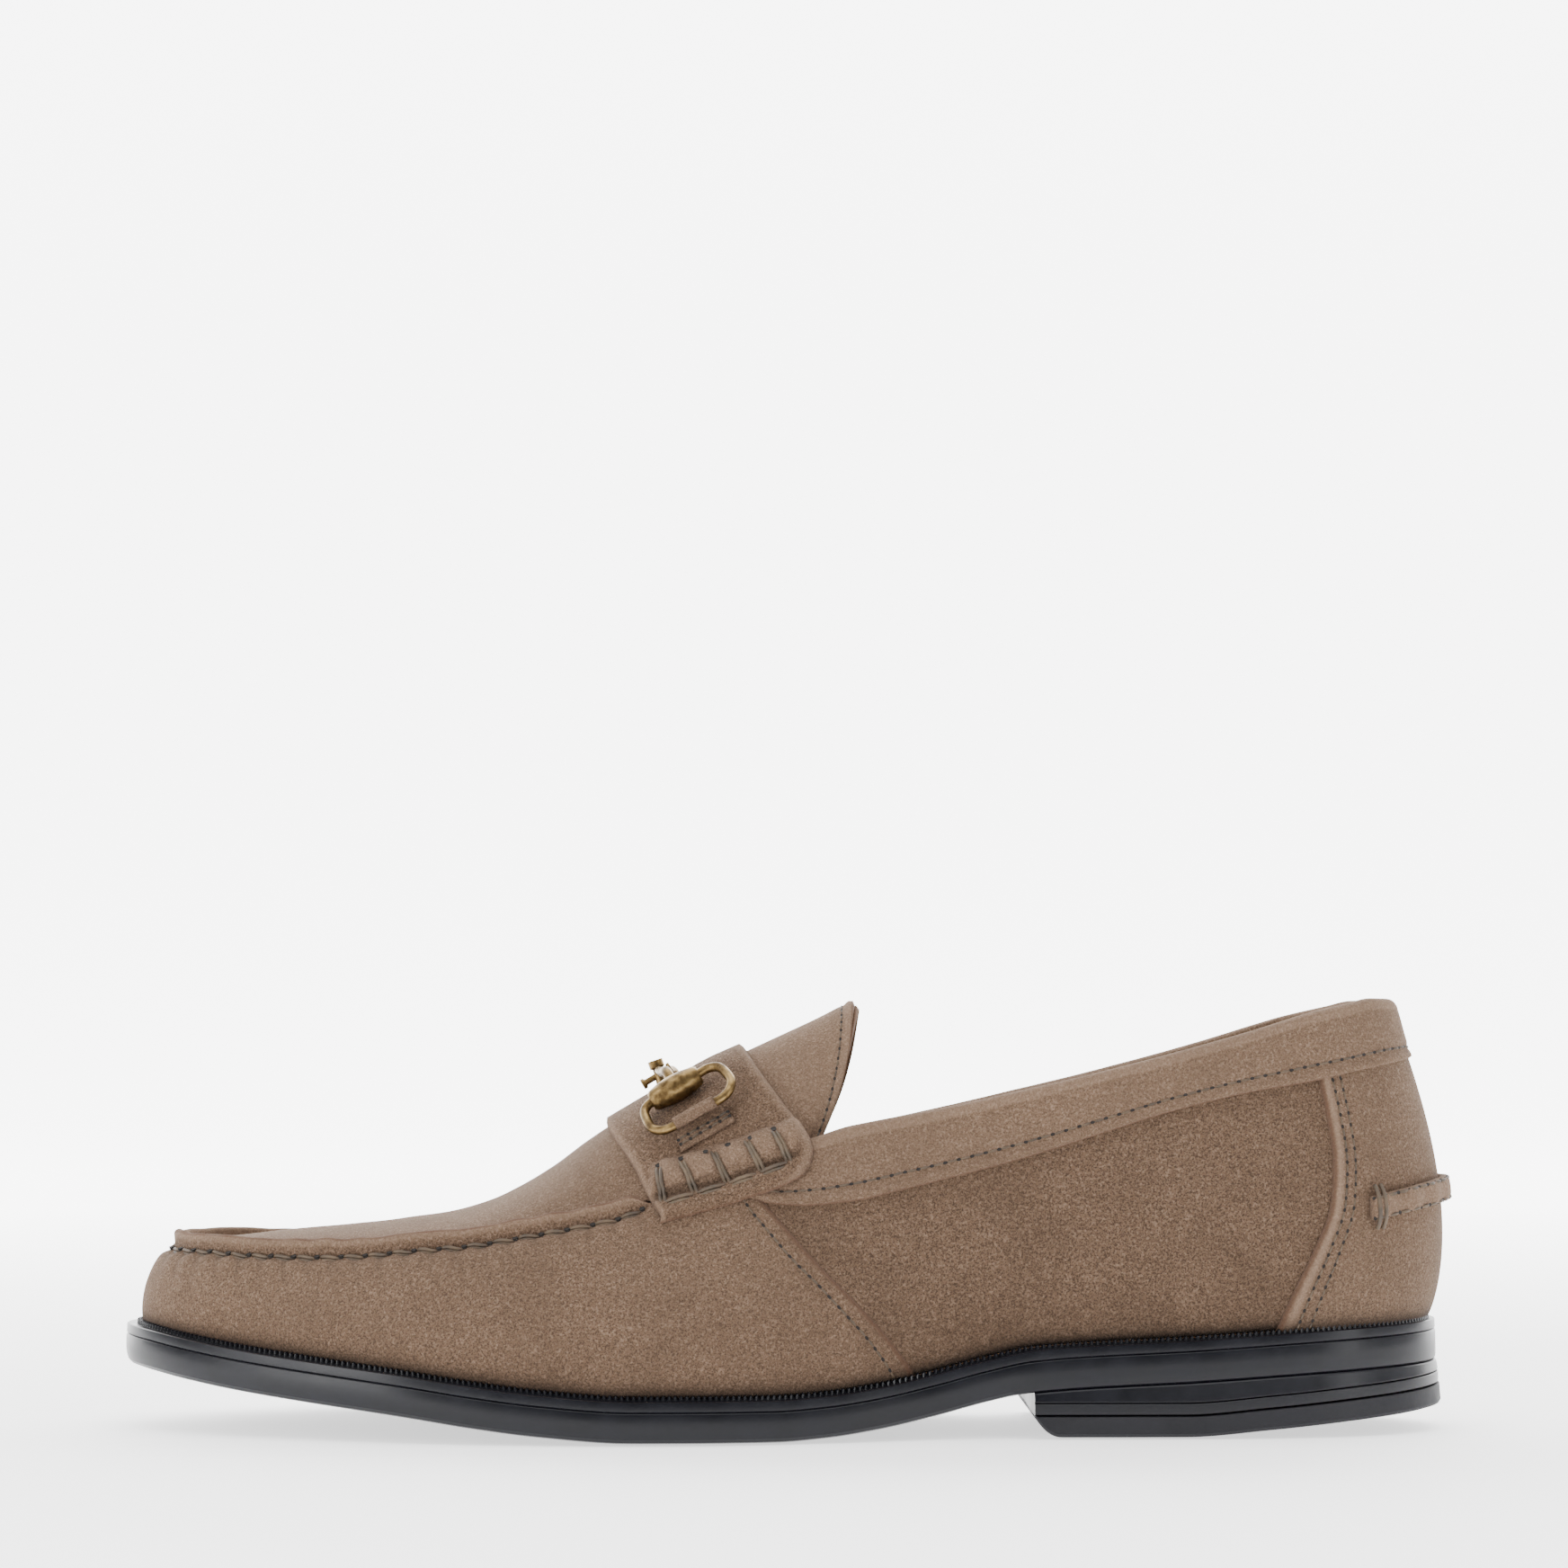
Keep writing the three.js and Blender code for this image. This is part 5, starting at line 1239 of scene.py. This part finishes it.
# %% Bit
tilt = math.radians(30)
link = np.array([-105.2, 0.0, 80.6])
ring_shape = [(0, 0), (.36, -.06), (.47, .06), (.52, .36), (.52, .7), (.42, .94), (.2, 1), (-.1, 1), (-.36, .96),
              (-.47, .76), (-.49, .4), (-.46, .1), (-.36, -.02)]
for side, tag in ((-1, "lateral"), (1, "medial")):
    p0, n0 = strap_place(-99.0, 74.0, side)
    up = n0[0]
    along = np.array([math.cos(tilt), 0, math.sin(tilt)])
    along -= up * along.dot(up)
    along /= np.linalg.norm(along)
    down = np.cross(along, up)
    down = down if down[2] < 0 else -down
    centre = p0[0] + up * 3.0
    t = np.linspace(-0.5, 0.5, 41)
    profile = 3.15 * (1 - 0.85 * np.abs(t) ** 1.6) * (1 - 0.16 * smooth((np.abs(t) - 0.44) / 0.06))
    turn_a = np.linspace(0, 2 * np.pi, 40, endpoint=False)
    dents = 1 + 0.018 * np.sin(5 * turn_a[None] + 9 * t[:, None]) * np.cos(17 * t[:, None] + 2 * turn_a[None])
    r = (profile[:, None] * dents)[..., None]
    body = centre + along * (t * 12.5)[:, None, None] + (down * np.cos(turn_a)[:, None] + up * np.sin(turn_a)[:, None])[None] * r
    faces = grid_faces(41, 40, wrap_columns=True, flip=True) + [list(range(40)), list(range(1600, 1640))[::-1]]
    barrel = finish_mesh(f"barrel_{tag}", body, faces, brass, merge=True)
    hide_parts(f"bit_barrel_{tag}")
    wire = np.array([centre + along * (a * 20.4 + 1.0) + down * (c * 10.4 + 0.3) - up * (1.5 * c) for a, c in ring_shape])
    loop_path = spline(wire, 120, closed=True)
    ring_obj = tube(f"ring_{tag}", loop_path, 1.08, brass, closed=True, sides=16)
    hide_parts(f"bit_ring_{tag}")
    arm = spline([centre - down * 1.2 + up * 0.6, centre - down * 5.0 + up * 1.6, link + [1.6, side * 7.5, -0.9], link + [0.6, side * 2.2, -0.4]], 30)
    arm_obj = tube(f"arm_{tag}", arm, np.linspace(1.25, 0.95, 30), brass, sides=14)
    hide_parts(f"bit_barrel_{tag}")
    low_ring = centre + along * 1.2 + down * 10.7 - up * 1.5
    tab_rows = []
    for w in np.linspace(-1, 1, 15):
        start = low_ring + along * (w * 5.1)
        turns_a = np.linspace(-0.6 * np.pi, 0.5 * np.pi, 9)
        over = [start + up * 1.75 * math.cos(a) + down * 1.75 * math.sin(a) for a in turns_a]
        for far, wide, high in ((2.8, 5.5, 1.6), (5.2, 6.0, 1.3), (7.6, 6.5, 1.15), (9.8, 6.9, 0.95), (11.0, 7.1, 0.6)):
            spot = low_ring + along * (w * wide) + down * far
            over.append(strap_place(spot[0], spot[2], side, high)[0][0])
        tab_rows.append(spline(over, 34))
    tab_p = np.stack(tab_rows)
    n_tab = normals(tab_p)
    facing = (n_tab[7, 20] @ up) > 0
    tz = 0 * tab_p[..., 0]
    # Painted light: the tab is lightened a little all over.
    tab_light = tz + 0.12
    tab = grid_piece(f"tab_{tag}", tab_p, taupe, {"painted_shade": tz, "painted_light": tab_light, "raw": tz}, flip=not facing, thick=1.1)
    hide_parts(f"bit_tab_{tag}")
    for shift, name in ((0.0, "a"), (1.8, "b")):
        pts = np.array([low_ring + along * w + down * (6.9 + shift) for w in np.linspace(-6.2, 6.4, 30)])
        p, n = strap_place(pts[:, 0], pts[:, 2], side, 1.22)
        stitch_row(f"tab_thread_{tag}_{name}", spline(p, 60), spline(n, 60), 2.6, 0.75, 0.3, 0.15)

# %% Link on the crest
pin = np.array([[-108.4, 0, 76.9], [-105.0, 0, 79.0], [-101.9, 0, 81.0]])
pin_obj = tube("link_pin", spline(pin, 24), np.array([1.25] * 3 + [0.72] * 18 + [1.25] * 3), brass, sides=14)
post = spline([link + [1.2, 0, -3.4], link + [0.6, 0, -1.0], link + [-0.4, 0, 1.9]], 20)
wrap_obj = tube("link_wrap", post, np.concatenate([np.full(13, 1.2), np.full(7, 1.75)]), brass, sides=16)
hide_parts("bit_link")
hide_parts("bit_link")

# %% [markdown]
# ## Studio
# A pale floor, a large soft light above and softer fills, as in a catalogue. The tall strips of light on
# either side give the polished sole its upright reflections at the toe and the heel.

# %% Floor, lights, camera
floor_mat, floor_tree, floor_shader = material("pale floor")
floor_shader.inputs["Base Color"].default_value = (0.9, 0.9, 0.9, 1)
floor_shader.inputs["Roughness"].default_value = 0.75
floor_shader.inputs["Emission Color"].default_value = (1, 1, 1, 1)
spot = floor_tree.nodes.new("ShaderNodeTexCoord").outputs["Object"]
reach = floor_tree.nodes.new("ShaderNodeVectorMath")
reach.operation = "LENGTH"
floor_tree.links.new(spot, reach.inputs[0])
parts = floor_tree.nodes.new("ShaderNodeSeparateXYZ")
floor_tree.links.new(spot, parts.inputs[0])
glow = ramp(floor_tree, reach.outputs["Value"], 0.25, 1.4, 1.15, 5.0)
glow = math_node(floor_tree, "MULTIPLY", glow, ramp(floor_tree, parts.outputs[1], -0.6, -0.22))
floor_tree.links.new(glow, floor_shader.inputs["Emission Strength"])
bend = np.linspace(0, np.pi / 2, 24)
sweep_y = np.concatenate([[-6, -3, -1, 1.2], 2.2 + 1.6 * np.sin(bend), [3.8]])
sweep_z = np.concatenate([[0, 0, 0, 0], 1.6 - 1.6 * np.cos(bend), [6.0]]) - 0.0004
sweep_x = np.linspace(-8, 8, 9)
sweep = np.stack(
    [sweep_x[None] + 0 * sweep_y[:, None], sweep_y[:, None] + 0 * sweep_x[None], sweep_z[:, None] + 0 * sweep_x[None]], -1
)
floor_mesh = bpy.data.meshes.new("floor")
floor_mesh.from_pydata(sweep.reshape(-1, 3).tolist(), [], grid_faces(len(sweep_y), 9))
floor_mesh.polygons.foreach_set("use_smooth", np.ones(len(floor_mesh.polygons), bool))
floor_mesh.materials.append(floor_mat)
floor = bpy.data.objects.new("floor", floor_mesh)
bpy.context.scene.collection.objects.link(floor)
world = bpy.data.worlds.new("studio")
world.use_nodes = True
sky = world.node_tree
facing = sky.nodes.new("ShaderNodeTexCoord").outputs["Generated"]
parts = sky.nodes.new("ShaderNodeSeparateXYZ")
sky.links.new(facing, parts.inputs[0])
level = math_node(sky, "ADD", parts.outputs[1], math_node(sky, "MULTIPLY", parts.outputs[2], 0.9))
sky.links.new(ramp(sky, level, -0.5, 0.6, 0.16, 1.3), sky.nodes["Background"].inputs["Strength"])
sky.nodes["Background"].inputs["Color"].default_value = (1, 1, 1, 1)
bpy.context.scene.world = world


def area(name, place, target, width, height, power):
    light = bpy.data.lights.new(name, "AREA")
    light.shape = "RECTANGLE"
    light.size, light.size_y, light.energy = width, height, power
    obj = bpy.data.objects.new(name, light)
    bpy.context.scene.collection.objects.link(obj)
    obj.location = place
    gaze = np.array(target, float) - np.array(place, float)
    from mathutils import Vector

    obj.rotation_euler = Vector(gaze).to_track_quat("-Z", "Y").to_euler()
    return obj


lights = [
    area("overhead", (-0.1, -0.1, 1.3), (-0.08, 0, 0.04), 1.4, 1.0, 14),
    area("front_left", (-0.95, -0.75, 0.35), (-0.15, 0, 0.02), 0.3, 0.9, 9),
    area("front_right", (0.85, -0.75, 0.35), (0.05, 0, 0.02), 0.22, 0.9, 4),
    area("behind", (0.1, 0.9, 0.7), (-0.05, 0, 0.05), 1.2, 0.6, 5),
]
camera_data = bpy.data.cameras.new("photo_camera")
camera_data.sensor_fit = "HORIZONTAL"
camera_data.angle = 2 * math.atan(872 / 3845)
camera = bpy.data.objects.new("photo_camera", camera_data)
camera.location = (-0.0758, -0.8, 0.078)
camera.rotation_euler = (math.radians(90 + 4.892), 0, 0)
bpy.context.scene.collection.objects.link(camera)
bpy.context.scene.camera = camera
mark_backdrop(floor, camera, *lights)

# %% Sizes and the end
for key, (low, high) in (("cad", cad_box), ("visual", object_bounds())):
    [float(c) for c in low]
    [float(c) for c in high]
